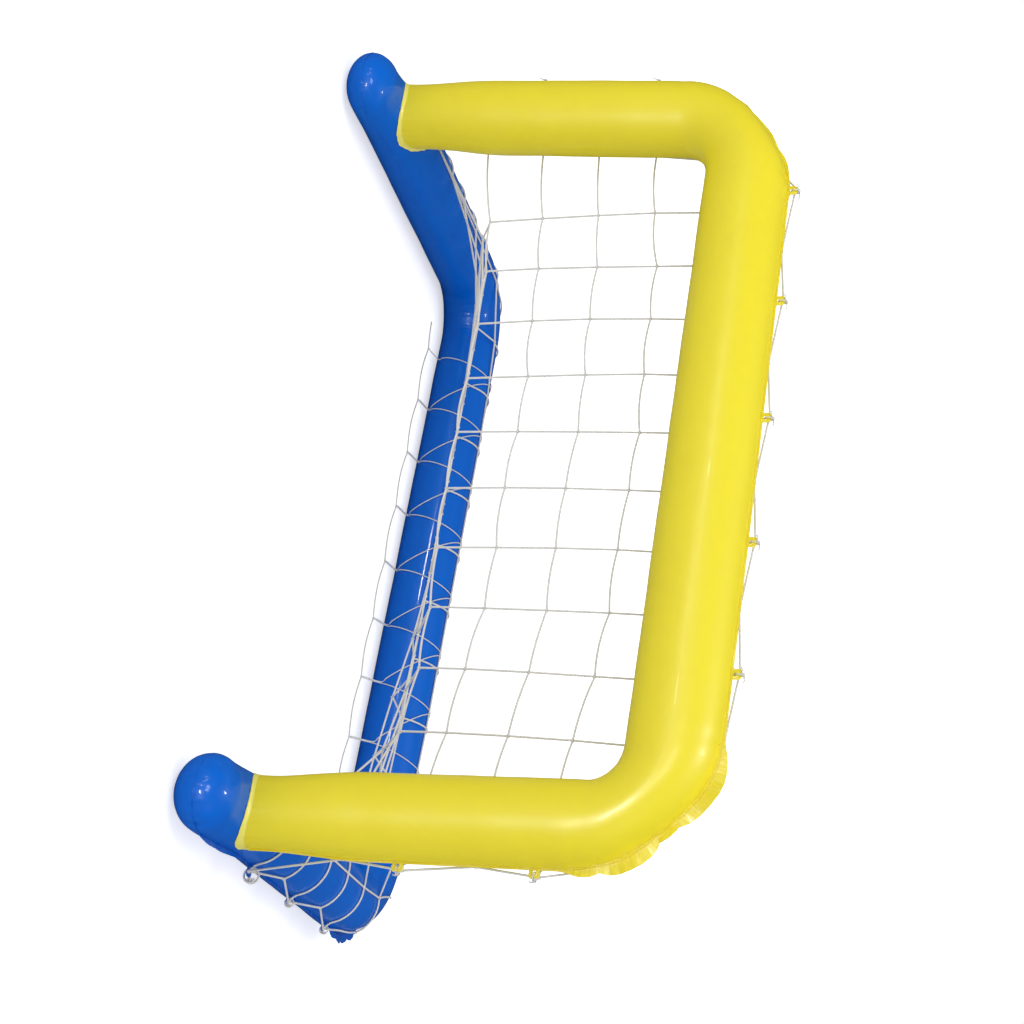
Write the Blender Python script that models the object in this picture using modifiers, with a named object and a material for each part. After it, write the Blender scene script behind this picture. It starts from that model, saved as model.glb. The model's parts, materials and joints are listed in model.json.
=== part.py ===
"""Inflatable floating pool goal.

A yellow inflated portal (two posts and a crossbar) is welded onto a blue inflated U-shaped base.
A white knotted net hangs behind the portal, slopes back to the rear bar and is tied round the rim.
A cord laced in a zigzag over the rear bar holds a foot rope on the ground in front of it.
Metres, +Z up, front of the goal towards -Y, origin under the middle of the whole goal.
"""
import math

import bmesh
import bpy
import numpy as np
from mathutils import Matrix, Vector

# Portal: two posts and a crossbar in one tube
PORTAL_WIDTH = 1.400        # outside to outside of the posts at the top
PORTAL_HEIGHT = 0.812       # ground to the top of the crossbar
CROSSBAR_RADIUS = 0.0724
POST_RADIUS = 0.0672
POST_NECK_SHARE = 0.9274    # radius of a post where it is welded to the base, as a share of the base's
POST_NECK_LENGTH = 0.16     # height over which the post swells from its neck
POST_BURIED = 0.20          # the skins start this share of the base's radius above its axis, then are cut
PORTAL_BEND_RADIUS = 0.125  # centre line
CROSSBAR_OVERHANG = 0.036   # crossbar axis in front of the feet of the posts

# Base: two side tubes with round feet, and a rear bar
BASE_RADIUS = 0.0620
POST_FOOT_SPREAD = 0.0334   # how much further out a post's foot is than its top
POST_FOOT_OUT = 0.0040      # foot of a post outside the middle of its side tube
BASE_REAR_SPREAD = 0.0190   # how much further out the side tubes end at the back
BASE_BEND_RADIUS = 0.120
POST_TO_REAR = 0.6650       # foot of a post to the axis of the rear bar
FOOT_LENGTH = 0.0890        # foot of a post to the centre of the round end
CROSSBAR_Y = -0.3339        # puts the whole goal's middle over the origin
POST_FOOT_X = PORTAL_WIDTH / 2 - POST_RADIUS + POST_FOOT_SPREAD
BASE_HALF_SPACING = POST_FOOT_X - POST_FOOT_OUT  # side tube axis at the posts
POST_NECK_RADIUS = POST_NECK_SHARE * BASE_RADIUS

# Vinyl skins and seams
WALL = 0.0004
GAP = 0.0003                # between touching pieces
HALF_FACETS = 9             # odd, so that the base rests on flat facets
PORTAL_RUN_PARTS = (4, 3, 4)  # rings in the straight runs
BASE_RUN_PARTS = (3, 4, 3)
BEND_RINGS = 7
DOME_RINGS = 4              # round ends of the feet
SEAM_THICKNESS = 0.0008
SEAM_WIDTH = 0.0040
INNER_SEAM_WIDTH = 0.0018
SEAM_RUFFLE_WIDTH = 0.0200
SEAM_RUFFLE_HEIGHT = 0.0050
SEAM_RUFFLE_PITCH = 0.0280
SEAM_RUFFLE_VARIATION = 0.12  # share of its width that comes and goes
SEAM_RUFFLE_DRIFT = 0.37    # how slowly it does, against the ruffles
RUFFLE_OVERRUN = 0.040      # ruffles run on past each end of a bend
PUCKER_DEPTH = 0.0030       # creases beside the ruffled seams
WELD_BEAD_RADIUS = 0.0020   # bead round the foot of each post
WELD_BEAD_LIFT = 0.0010     # more, where the bead crosses the base's facets
SADDLE_CLEARANCE = 0.0005   # post cut off the base
SEAM_END_HEIGHT = 0.0330    # portal seams stop this far above the base's widest line

# Eyelet tabs and ties
TAB_THICKNESS = 0.0012
TAB_WIDTH = 0.0180
TAB_LENGTH = 0.0175         # reach beyond the tube
TAB_ROOT = 0.0007           # root of a tab off the tube
TAB_ROUNDING = 0.6          # of its corners, as a share of its half width
FOOT_TAB_SIZE = 1.25        # foot tabs are larger by this
TIE_RADIUS = 0.0075         # loop, at the middle of the cord
TIE_CORD_RADIUS = 0.0011
TIE_HOLE_RADIUS = 0.0024
FOOT_TIE_RADIUS = 0.0120
FOOT_TIE_CORD_RADIUS = 0.0018
FOOT_TIE_HOLE_RADIUS = 0.0032
TIE_ADVANCE = 0.0019        # half of a loop's advance along the seam
TIE_TAIL = 0.010
TIE_TAIL_ALONG = 0.8        # shares of a tail's length along the seam and back from it
TIE_TAIL_BACK = 0.3
TIE_START = -55.0           # degrees from straight out to the loop's first end
TIE_TURN = 450.0            # degrees round
TIE_STEPS = 10
TIE_CENTRE_BACK = 0.45      # share of its radius that a loop's centre is behind the tab
TIE_BESIDE_KNOT = 0.0065    # the loop holds the net beside its knot
FOOT_TIE_BESIDE_KNOT = 0.0091

# Net
NET_STRAND = 0.0028
NET_KNOT_HALF = 0.0018
NET_COLUMNS = 13            # meshes across
NET_ROWS = 13               # meshes from the crossbar's seam to the rear bar's seam
NET_PITCH_HANGING = 0.07786 * PORTAL_WIDTH
NET_PITCH_REAR = 0.08821 * PORTAL_WIDTH
NET_ROW_PITCH = 0.1070
NET_OVER_BAR_ANGLE = 66.0   # degrees from the seam to the row that lies over the crossbar
NET_FIRST_HANGING = 3       # first row that hangs free of the crossbar
NET_FIRST_BELOW = 0.1416    # that row below the crossbar's axis
NET_LAST_HANGING = 6        # below it the net slopes back to the rear bar
NET_FRONT_ROW = 11          # row along the front of the rear bar
NET_FRONT_ANGLE = 152.0     # degrees from the rear seam over the top to that row
NET_DRIFT = 0.038           # how far the hanging rows swing back
NET_DRIFT_POWER = 1.7       # more so the lower they are
NET_EDGE_DROOP = 0.081      # the hanging rows are lower towards the sides
NET_DROOP_POWER = 3
NET_EDGE_REACH = 0.0135     # tied edge beyond the tube
NET_EDGE_BACK = 0.0040      # tied edge behind its tab
NET_EDGE_ANGLE = 24.0       # degrees from the seam to the edge where it isn't tied
NET_POST_ANGLE = 122.0      # degrees from a post's outer seam to the net's second column
NET_SIDE_ANGLE = 96.0       # the same on a side tube
NET_BEND_ANGLE = 40.8       # the same beside a bend of the portal
NET_CORNER_ANGLE = 30.0     # and beside a rear corner
NET_SEAT = 0.0056           # middle of a strand off the tube that it lies on
NET_GROUND = 0.0030         # middle of a strand off the ground
NET_SAG = 0.0040
NET_WAVE = 0.0060
NET_WAVE_ACROSS = 1.9       # radians from one column to the next
NET_WAVE_DOWN = 0.8         # and from one row to the next
NET_BELOW_BEND = 0.062      # first row on a post below the bend
NET_ABOVE_BASE = 0.114      # last row on a post above the base
NET_BEHIND_POST = 0.0305    # first row on a side tube behind the post
NET_PAST_CORNER = 0.035     # last row on a side tube beyond the start of the rear corner
NET_BEND_TURN = 0.045       # rows beside a bend, from its start
RIM_SHARES = {2: (0.30, 0.12), 3: (0.08, 0.0)}  # how far columns beside the rim follow it, back and down
FREE_PARTS = 2              # pieces in one strand that hangs free
OVER_PARTS = 3              # over the crossbar
ROUND_PARTS = 4             # round a tube
SEAM_PARTS = 5              # from a seam round to the back of a tube
TIED_COLUMNS = (2, 4, 6, 8, 10)      # at the crossbar
TIED_REAR_COLUMNS = (3, 5, 8, 10)
TIED_POST_ROWS = (3, 5)
FOOT_ROW = 7
TIED_BASE_ROWS = (9, 11)

# Zigzag lacing over the rear bar, and the foot rope that it holds
LACING_RADIUS = 0.0011
LACING_TURNS = 9
LACING_SHIFT = -0.05        # middle lower turn beside the bar's middle, in pitches of the net's rear columns
LACING_LEAN = 0.275         # each upper turn beside its lower turn, in the same pitches
LACING_SPLIT = 0.0030       # half of a turn's width
LACING_SEAT = 0.0018        # its middle off the tube
LACING_TOP_ANGLE = 60.0     # degrees from the rear seam to the upper turns, on a facet's edge
LACING_LAST_ANGLE = 160.0   # where it leaves the bar, straight down to the rope
LACING_FOOT_ANGLE = 228.0   # where its lean would end, were it to follow the bar
ROPE_RADIUS = 0.0014
ROPE_FRONT = 0.0850         # rope in front of the rear bar's axis
ROPE_SCALLOP = 0.0130       # further in front between two lower turns
ROPE_PARTS = 4              # pieces from one lower turn to the next

# Inflation valves
VALVE_FLANGE_RADIUS = 0.0180
VALVE_FLANGE_THICKNESS = 0.0008
VALVE_FLANGE_SEAT = 0.0006  # off the tube's true round
STEM_RADIUS = 0.0075
STEM_BORE = 0.0042
STEM_OUT = 0.0160           # mouth above the skin when the valve is pulled out
STEM_IN = 0.0160            # end below the skin
STEM_RIM_RADIUS = 0.0095
STEM_RIM_TOP = 0.0026
STEM_RIM_THICKNESS = 0.0012
SKIN_HOLE_CLEARANCE = 0.0007
SKIN_HOLE_REACH = 0.020     # of the cutter to both sides of the skin
CAP_RADIUS = 0.0080
CAP_THICKNESS = 0.0020
STOPPER_TOP_RADIUS = 0.0035
STOPPER_TIP_RADIUS = 0.0032
STOPPER_LENGTH = 0.0040
CAP_SHELF_START = 0.6       # share of the cap's radius at which its lug begins
CAP_SHELF_INSET = 0.0002    # lug within the cap's thickness
HINGE_OFFSET = 0.0112
HINGE_DROP = 0.0028         # cap hinge below the mouth
STRAP_THICKNESS = 0.0015
STRAP_WIDTH = 0.0050
STRAP_RING_WIDTH = 0.0016
STRAP_END = 0.0009          # strap beyond the hinge line
LUG_GAP = 0.0014            # cap lug off the hinge line
FLAP_RADIUS = 0.0052
FLAP_THICKNESS = 0.0006
PORTAL_VALVE_HEIGHT = 0.290
BASE_VALVE_X = -0.240
BASE_VALVE_ANGLE = -25.0    # degrees below the rear seam
TURNED_STEPS = 12
FLANGE_STEPS = 18

PARTS = "pool_goal"
CUTTERS = "pool_goal_cutters"


def clear_scene():
    for thing in list(bpy.data.objects):
        bpy.data.objects.remove(thing, do_unlink=True)


def new_collection(name):
    group = bpy.data.collections.new(name)
    bpy.context.scene.collection.children.link(group)
    return group


def material(name, colour, roughness, specular=0.5):
    made = bpy.data.materials.new(name)
    made.use_nodes = True
    shader = made.node_tree.nodes["Principled BSDF"]
    shader.inputs["Base Color"].default_value = (*colour, 1.0)
    shader.inputs["Roughness"].default_value = roughness
    shader.inputs["Metallic"].default_value = 0.0
    shader.inputs["Specular IOR Level"].default_value = specular
    return made


def smoothstep(value):
    t = min(1.0, max(0.0, value))
    return t * t * (3.0 - 2.0 * t)


class BentPath:
    """A flat centre line of straight runs with round bends at its inner corners."""

    def __init__(self, corners, bend_radius):
        self.runs = []
        self.length = 0.0
        start = Vector(corners[0])
        for here, after in zip(corners[1:-1], corners[2:]):
            corner = Vector(here)
            arriving = (corner - start).normalized()
            leaving = (Vector(after) - corner).normalized()
            turn = arriving.angle(leaving)
            setback = bend_radius * math.tan(turn / 2.0)
            self.add_straight(start, corner - arriving * setback)
            self.add_bend(corner - arriving * setback, arriving, leaving, bend_radius, turn)
            start = corner + leaving * setback
        self.add_straight(start, Vector(corners[-1]))

    def add_straight(self, start, end):
        run = (end - start).length
        self.runs.append(("straight", self.length, run, start, (end - start).normalized()))
        self.length += run

    def add_bend(self, start, arriving, leaving, radius, turn):
        side = 1.0 if arriving.x * leaving.y - arriving.y * leaving.x > 0.0 else -1.0
        normal = Vector((-arriving.y, arriving.x)) * side
        centre = start + normal * radius
        self.runs.append(("bend", self.length, radius * turn, centre, (start - centre, side, turn)))
        self.length += radius * turn

    def at(self, distance):
        """Point and direction of travel at a distance along the path."""
        kind, begins, run, anchor, data = self.runs[0]
        for candidate in self.runs:
            if distance >= candidate[1] - 1e-9:
                kind, begins, run, anchor, data = candidate
        along = distance - begins
        if kind == "straight":
            return anchor + data * along, data
        spoke, side, turn = data
        angle = side * turn * along / run
        spun = Matrix.Rotation(angle, 2) @ spoke
        heading = Vector((-spun.y, spun.x)).normalized() * side
        return anchor + spun, heading

    def bends(self):
        return [(run[1], run[1] + run[2]) for run in self.runs if run[0] == "bend"]


class Tube:
    """An inflated tube round a flat path: places on it are named by distance and angle.

    Angle 0 is the outer seam, 90 degrees faces the plane's normal, 180 is the inner seam.
    """

    def __init__(self, path, origin, across, along, run_parts, wanted_radius):
        self.path = path
        self.origin = Vector(origin)
        self.across = Vector(across).normalized()
        self.along = Vector(along).normalized()
        self.normal = self.along.cross(self.across)
        if self.normal.y < -0.5 or self.normal.z < -0.5:
            self.normal = -self.normal
        self.rings = self.distances(run_parts, BEND_RINGS)
        self.ring_radii = [wanted_radius(distance) for distance in self.rings]

    def radius_at(self, distance):
        """Radius of the skin, which runs straight from ring to ring."""
        return float(np.interp(distance, self.rings, self.ring_radii))

    def lift(self, flat):
        return self.across * flat.x + self.along * flat.y

    def centre(self, distance):
        return self.origin + self.lift(self.path.at(distance)[0])

    def tangent(self, distance):
        return self.lift(self.path.at(distance)[1])

    def outward(self, distance):
        heading = self.path.at(distance)[1]
        return self.lift(Vector((-heading.y, heading.x)))

    def direction(self, distance, angle):
        return self.outward(distance) * math.cos(angle) + self.normal * math.sin(angle)

    def surface(self, distance, angle, off=0.0):
        reach = self.radius_at(distance) + off
        return self.centre(distance) + self.direction(distance, angle) * reach

    def beside_seam(self, distance, out, back):
        """A point beyond the outer seam, and back from it along the plane's normal."""
        reach = self.radius_at(distance) + out
        return self.centre(distance) + self.outward(distance) * reach + self.normal * back

    def distances(self, straight_parts, bend_parts):
        """Ring places: even steps in each straight run and in each bend."""
        places = []
        straight = iter(straight_parts)
        for kind, begins, run, _anchor, _data in self.path.runs:
            parts = next(straight) if kind == "straight" else bend_parts
            places += [begins + run * step / parts for step in range(parts)]
        return places + [self.path.length]


def post_foot_axis_z():
    """Height of the base tubes' axis: their lowest facet lies on the ground."""
    return BASE_RADIUS * math.cos(math.pi / (2 * HALF_FACETS)) + GAP / 2


def post_foot_y():
    return CROSSBAR_Y + CROSSBAR_OVERHANG


def make_portal_tube():
    axis_z = post_foot_axis_z()
    foot = Vector((0.0, post_foot_y(), axis_z))
    top = Vector((0.0, CROSSBAR_Y, PORTAL_HEIGHT - CROSSBAR_RADIUS))
    lean = top - foot
    start = POST_BURIED * BASE_RADIUS / lean.normalized().z
    half_top = PORTAL_WIDTH / 2 - POST_RADIUS
    corners = [(-POST_FOOT_X, start), (-half_top, lean.length),
               (half_top, lean.length), (POST_FOOT_X, start)]
    path = BentPath(corners, PORTAL_BEND_RADIUS)
    first_bend, bend_end = path.bends()[0]

    def wanted_radius(distance):
        near = min(distance, path.length - distance)
        neck = smoothstep((near + start - BASE_RADIUS) / POST_NECK_LENGTH)
        post = POST_NECK_RADIUS + (POST_RADIUS - POST_NECK_RADIUS) * neck
        share = smoothstep((near - first_bend) / (bend_end - first_bend))
        return post + (CROSSBAR_RADIUS - post) * share

    return Tube(path, foot, (1, 0, 0), lean, PORTAL_RUN_PARTS, wanted_radius)


def make_base_tube():
    rear = post_foot_y() + POST_TO_REAR
    front = post_foot_y() - FOOT_LENGTH
    wide = BASE_HALF_SPACING + BASE_REAR_SPREAD
    corners = [(-BASE_HALF_SPACING, front), (-wide, rear), (wide, rear), (BASE_HALF_SPACING, front)]
    path = BentPath(corners, BASE_BEND_RADIUS)
    axis = (0, 0, post_foot_axis_z())
    return Tube(path, axis, (1, 0, 0), (0, 1, 0), BASE_RUN_PARTS, lambda distance: BASE_RADIUS)


def link(obj, group, finish=None, smooth=True):
    group.objects.link(obj)
    if finish is not None:
        obj.data.materials.append(finish)
    if smooth and obj.type == "MESH":
        obj.data.shade_smooth()
        obj.data.set_sharp_from_angle(angle=math.radians(40))
    return obj


def grid_object(name, rows, closed=False, facing=None):
    """A sheet of quads through rows of points; facing(i) is a point behind the face of row i."""
    mesh = bpy.data.meshes.new(name)
    build = bmesh.new()
    verts = [[build.verts.new(point) for point in row] for row in rows]
    count = len(rows)
    last = count if closed else count - 1
    for i in range(last):
        upper, lower = verts[i], verts[(i + 1) % count]
        for j in range(len(upper) - 1):
            build.faces.new((upper[j], upper[j + 1], lower[j + 1], lower[j]))
    bmesh.ops.remove_doubles(build, verts=build.verts, dist=1e-6)
    build.normal_update()
    if facing is not None:
        sample = max(build.faces, key=lambda face: face.calc_area())
        if sample.normal.dot(sample.calc_center_median() - facing(sample)) < 0.0:
            bmesh.ops.reverse_faces(build, faces=build.faces)
    build.to_mesh(mesh)
    build.free()
    return bpy.data.objects.new(name, mesh)


def solidify(obj, thickness, offset, even=True):
    modifier = obj.modifiers.new("wall", "SOLIDIFY")
    modifier.thickness = thickness
    modifier.offset = offset
    modifier.use_even_offset = even
    return obj


def in_bend(path, distance):
    return any(start + 1e-6 < distance < end - 1e-6 for start, end in path.bends())


def skin_row(tube, distance, side, radius, centre, crease):
    """One half section, from the outer seam over the given side to the inner seam."""
    row = []
    for j in range(HALF_FACETS + 1):
        angle = math.pi * j / HALF_FACETS
        reach = radius
        if crease and j in (1, 2):
            reach -= PUCKER_DEPTH / j
        point = centre + tube.outward(distance) * (reach * math.cos(angle))
        point += tube.normal * (side * (reach * math.sin(angle) + GAP / 2))
        row.append(point)
    return row


def foot_point(portal, base, side, angle, aside, lift):
    """Where a line down a post, set off its skin, is a lift above the base's side tube."""
    distance = 0.0 if side < 0 else portal.path.length
    for _round in range(6):
        spot = portal.surface(distance, angle, aside)
        axis = base.centre(side_place(base, spot.y, side))
        height = math.sqrt((BASE_RADIUS + lift) ** 2 - (spot.x - axis.x) ** 2)
        distance += (axis.z + height - spot.z) / portal.tangent(distance).z
    return portal.surface(distance, angle, aside)


def saddle_cutter(base, side, cutters):
    """The shape of a side tube under a post, a clearance larger all round."""
    reach = (BASE_RADIUS + SADDLE_CLEARANCE) / math.cos(math.pi / (2 * HALF_FACETS))
    rows = []
    for y in (post_foot_y() - 2 * POST_NECK_RADIUS, post_foot_y() + 2 * POST_NECK_RADIUS):
        distance = side_place(base, y, side)
        ring = [math.pi * j / HALF_FACETS for j in range(2 * HALF_FACETS)]
        rows.append([base.centre(distance) + base.direction(distance, angle) * reach for angle in ring])
    word = "left" if side < 0 else "right"
    return as_cutter(prism_object(word + "_saddle_cutter", rows), cutters)


def prism_object(name, rings):
    """A closed body between two rings of the same count."""
    mesh = bpy.data.meshes.new(name)
    build = bmesh.new()
    verts = [[build.verts.new(point) for point in ring] for ring in rings]
    count = len(verts[0])
    for k in range(count):
        after = (k + 1) % count
        build.faces.new((verts[0][k], verts[0][after], verts[1][after], verts[1][k]))
    build.faces.new(verts[0])
    build.faces.new(verts[1])
    bmesh.ops.recalc_face_normals(build, faces=build.faces)
    build.to_mesh(mesh)
    build.free()
    return bpy.data.objects.new(name, mesh)


def portal_skin(name, tube, side, saddles, group, finish):
    rows = []
    for index, distance in enumerate(tube.rings):
        crease = in_bend(tube.path, distance) and index % 2 == 1
        rows.append(skin_row(tube, distance, side, tube.radius_at(distance),
                             tube.centre(distance), crease))
    obj = grid_object(name, rows, facing=lambda face: nearest_centre(tube, face))
    solidify(obj, WALL, -1.0)
    for saddle in saddles:
        boolean(obj, saddle, "DIFFERENCE")
    return link(obj, group, finish)


def nearest_centre(tube, face):
    """The point on the tube's axis nearest to a face."""
    spot = face.calc_center_median()
    steps = [tube.centre(tube.path.length * k / 200) for k in range(201)]
    return min(steps, key=lambda centre: (centre - spot).length)


def dome_rings(tube, at_start):
    """Rings of the round end of a foot, from its tip to the tube's first ring."""
    distance = 0.0 if at_start else tube.path.length
    heading = -tube.tangent(distance) if at_start else tube.tangent(distance)
    rings = []
    for step in range(DOME_RINGS):
        angle = 0.5 * math.pi * step / DOME_RINGS
        centre = tube.centre(distance) + heading * (BASE_RADIUS * math.cos(angle))
        rings.append((distance, centre, BASE_RADIUS * math.sin(angle)))
    return rings


def base_skin(name, tube, side, group, finish):
    rings = dome_rings(tube, True)
    for distance in tube.rings:
        rings.append((distance, tube.centre(distance), tube.radius_at(distance)))
    rings += reversed(dome_rings(tube, False))
    rows = []
    for index, (distance, centre, radius) in enumerate(rings):
        crease = in_bend(tube.path, distance) and index % 2 == 1
        rows.append(skin_row(tube, distance, side, radius, centre, crease))
    obj = grid_object(name, rows, facing=lambda face: nearest_centre(tube, face))
    solidify(obj, WALL, -1.0)
    return link(obj, group, finish)


def ruffle_share(path, distance):
    """0 on straight runs, rising to 1 over each bend."""
    share = 0.0
    for start, end in path.bends():
        inside = min(distance - start, end - distance) + RUFFLE_OVERRUN
        share = max(share, smoothstep(inside / (2 * RUFFLE_OVERRUN)))
    return share


def seam_places(tube):
    """The skins' own ring places on straight runs, close steps where the seam is ruffled."""
    ruffled = [(start - RUFFLE_OVERRUN, end + RUFFLE_OVERRUN) for start, end in tube.path.bends()]
    places = [ring for ring in tube.rings if not any(first < ring < last for first, last in ruffled)]
    for first, last in ruffled:
        steps = math.ceil((last - first) / (SEAM_RUFFLE_PITCH / 4))
        places += [first + (last - first) * step / steps for step in range(steps + 1)]
    return sorted(places)


def ruffled_pair(tube, distance, start_phase):
    """Root and edge of the outer seam at one place."""
    share = ruffle_share(tube.path, distance)
    phase = 2 * math.pi * distance / SEAM_RUFFLE_PITCH + start_phase
    swell = 1.0 - SEAM_RUFFLE_VARIATION * (1.0 - math.cos(SEAM_RUFFLE_DRIFT * phase))
    width = SEAM_WIDTH + (SEAM_RUFFLE_WIDTH - SEAM_WIDTH) * share * swell
    back = SEAM_RUFFLE_HEIGHT * share * math.sin(phase)
    return [tube.beside_seam(distance, GAP, 0.0), tube.beside_seam(distance, GAP + width, back)]


def inner_pair(tube, distance):
    """Root and edge of the narrow inner seam at one place."""
    centre = tube.centre(distance)
    inward = -tube.outward(distance)
    root = tube.radius_at(distance) + GAP
    return [centre + inward * root, centre + inward * (root + INNER_SEAM_WIDTH)]


def side_seam_end(tube):
    """Distance at which the portal's seams stop, clear of the bead at a post's foot."""
    return (post_foot_axis_z() + SEAM_END_HEIGHT - tube.centre(0.0).z) / tube.tangent(0.0).z


def portal_outer_seam(tube, group, finish):
    clear = side_seam_end(tube)
    inside = [d for d in seam_places(tube) if clear < d < tube.path.length - clear]
    places = [clear] + inside + [tube.path.length - clear]
    obj = grid_object("portal_outer_seam", [ruffled_pair(tube, d, 0.0) for d in places])
    solidify(obj, SEAM_THICKNESS, 0.0, even=False)
    return link(obj, group, finish)


def portal_inner_seam(tube, group, finish):
    clear = side_seam_end(tube)
    inside = [d for d in tube.rings if clear < d < tube.path.length - clear]
    places = [clear] + inside + [tube.path.length - clear]
    obj = grid_object("portal_inner_seam", [inner_pair(tube, d) for d in places])
    solidify(obj, SEAM_THICKNESS, 0.0, even=False)
    return link(obj, group, finish)


def nose_pairs(tube, at_start):
    """The seam round a foot's end, from the outer side over the tip to the inner side."""
    distance = 0.0 if at_start else tube.path.length
    heading = -tube.tangent(distance) if at_start else tube.tangent(distance)
    root = BASE_RADIUS + GAP
    pairs = []
    for step in range(1, 2 * DOME_RINGS):
        angle = math.pi * step / (2 * DOME_RINGS)
        way = tube.outward(distance) * math.cos(angle) + heading * math.sin(angle)
        centre = tube.centre(distance)
        pairs.append([centre + way * root, centre + way * (root + INNER_SEAM_WIDTH)])
    return pairs


def base_seam(tube, group, finish):
    outer = [ruffled_pair(tube, distance, 1.0) for distance in seam_places(tube)]
    inner = [inner_pair(tube, distance) for distance in tube.rings]
    rows = outer + nose_pairs(tube, False) + inner[::-1] + nose_pairs(tube, True)[::-1]
    obj = grid_object("base_seam", rows, closed=True)
    solidify(obj, SEAM_THICKNESS, 0.0, even=False)
    return link(obj, group, finish)


def curve_object(name, splines, radius, group, finish, closed=False, resolution=0):
    data = bpy.data.curves.new(name, "CURVE")
    data.dimensions = "3D"
    data.bevel_depth = radius
    data.bevel_resolution = resolution
    data.use_fill_caps = True
    for points in splines:
        spline = data.splines.new("POLY")
        spline.points.add(len(points) - 1)
        for slot, point in zip(spline.points, points):
            slot.co = (*point, 1.0)
        spline.use_cyclic_u = closed
    return link(bpy.data.objects.new(name, data), group, finish)


def post_weld(name, side, portal, base, group, finish):
    """The bead where a post is welded onto a side tube."""
    aside = WELD_BEAD_RADIUS + SADDLE_CLEARANCE
    lift = WELD_BEAD_RADIUS + WELD_BEAD_LIFT
    angles = [math.pi * step / HALF_FACETS for step in range(2 * HALF_FACETS)]
    points = [foot_point(portal, base, side, angle, aside, lift) for angle in angles]
    return curve_object(name, [points], WELD_BEAD_RADIUS, group, finish, closed=True)


def tube_samples(tube):
    """Axis points and radii along a tube, for laying the net on it."""
    steps = int(tube.path.length / 0.006)
    places = [tube.path.length * step / steps for step in range(steps + 1)]
    centres = np.array([tuple(tube.centre(place)) for place in places])
    radii = np.array([tube.radius_at(place) for place in places])
    return centres, radii


def laid_on(point, bodies):
    """A strand that would sink into a tube or the ground lies on it instead."""
    spot = np.array(tuple(point))
    for _round in range(2):
        for centres, radii in bodies:
            apart = np.linalg.norm(centres - spot, axis=1)
            nearest = int(np.argmin(apart - radii))
            wanted = radii[nearest] + NET_SEAT
            if apart[nearest] < wanted:
                spot = centres[nearest] + (spot - centres[nearest]) * (wanted / apart[nearest])
        spot[2] = max(spot[2], NET_GROUND)
    return Vector(spot)


def crossbar_place(tube, x):
    """Distance along the portal at which its crossbar is at x."""
    return tube.path.length / 2 + x


def post_place(tube, z, side):
    """Distance along the portal at which a post is at a height."""
    start = tube.centre(0.0)
    rise = tube.tangent(0.0).z
    distance = (z - start.z) / rise
    return distance if side < 0 else tube.path.length - distance


def side_place(tube, y, side):
    """Distance along the base at which a side tube is at y."""
    start = tube.centre(0.0)
    distance = (y - start.y) / tube.tangent(0.0).y
    return distance if side < 0 else tube.path.length - distance


def edge_point(tube, distance, tied):
    """Where the net's edge lies beside a seam: in its tie, or down on the tube between ties."""
    if tied:
        return tube.beside_seam(distance, NET_EDGE_REACH, NET_EDGE_BACK)
    return tube.surface(distance, math.radians(NET_EDGE_ANGLE), NET_SEAT)


def column_x(column, pitch):
    return (column - NET_COLUMNS / 2) * pitch


def hanging_height(column, row):
    """Height of a knot that hangs free: the rows droop towards the sides."""
    first = PORTAL_HEIGHT - CROSSBAR_RADIUS - NET_FIRST_BELOW
    aside = abs(column - NET_COLUMNS / 2) / (NET_COLUMNS / 2)
    return first - NET_ROW_PITCH * (row - NET_FIRST_HANGING) - NET_EDGE_DROOP * aside ** NET_DROOP_POWER


def post_row_place(portal, row, side):
    """Distance along the portal at which a row crosses a post."""
    top = portal.centre(portal.path.bends()[0][0]).z - NET_BELOW_BEND
    bottom = post_foot_axis_z() + BASE_RADIUS + NET_ABOVE_BASE
    share = (row - NET_FIRST_HANGING) / (FOOT_ROW - 1 - NET_FIRST_HANGING)
    return post_place(portal, top + (bottom - top) * share, side)


def side_row_y(row, base):
    """Where the rows cross the side tubes, from just behind the posts to the rear corner."""
    first = post_foot_y() + POST_NECK_RADIUS + NET_BEHIND_POST
    last = base.centre(base.path.bends()[0][0]).y + NET_PAST_CORNER
    return first + (last - first) * (row - FOOT_ROW) / (NET_ROWS - 1 - FOOT_ROW)


def net_wave(column, row):
    """Slow unevenness of the net."""
    return NET_WAVE * math.sin(NET_WAVE_ACROSS * column + NET_WAVE_DOWN * row)


def hanging_knot(column, row):
    """A knot that hangs behind the portal's mouth."""
    wave = net_wave(column, row)
    fall = (row - NET_FIRST_HANGING + 1) / (NET_LAST_HANGING - NET_FIRST_HANGING + 1)
    y = CROSSBAR_Y + CROSSBAR_RADIUS + NET_SEAT + NET_DRIFT * fall ** NET_DRIFT_POWER
    return Vector((column_x(column, NET_PITCH_HANGING), y + wave / 2, hanging_height(column, row) + wave / 2))


def rear_place(base, column):
    """Distance along the base at which a column crosses the rear bar."""
    return base.path.length / 2 + column_x(column, NET_PITCH_REAR)


def sloping_knot(column, row, base):
    """A knot between the last hanging row and the row along the front of the rear bar."""
    share = (row - NET_LAST_HANGING) / (NET_FRONT_ROW - NET_LAST_HANGING)
    upper = hanging_knot(column, NET_LAST_HANGING)
    lower = base.surface(rear_place(base, column), math.radians(NET_FRONT_ANGLE), NET_SEAT)
    return upper.lerp(lower, share)


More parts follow.
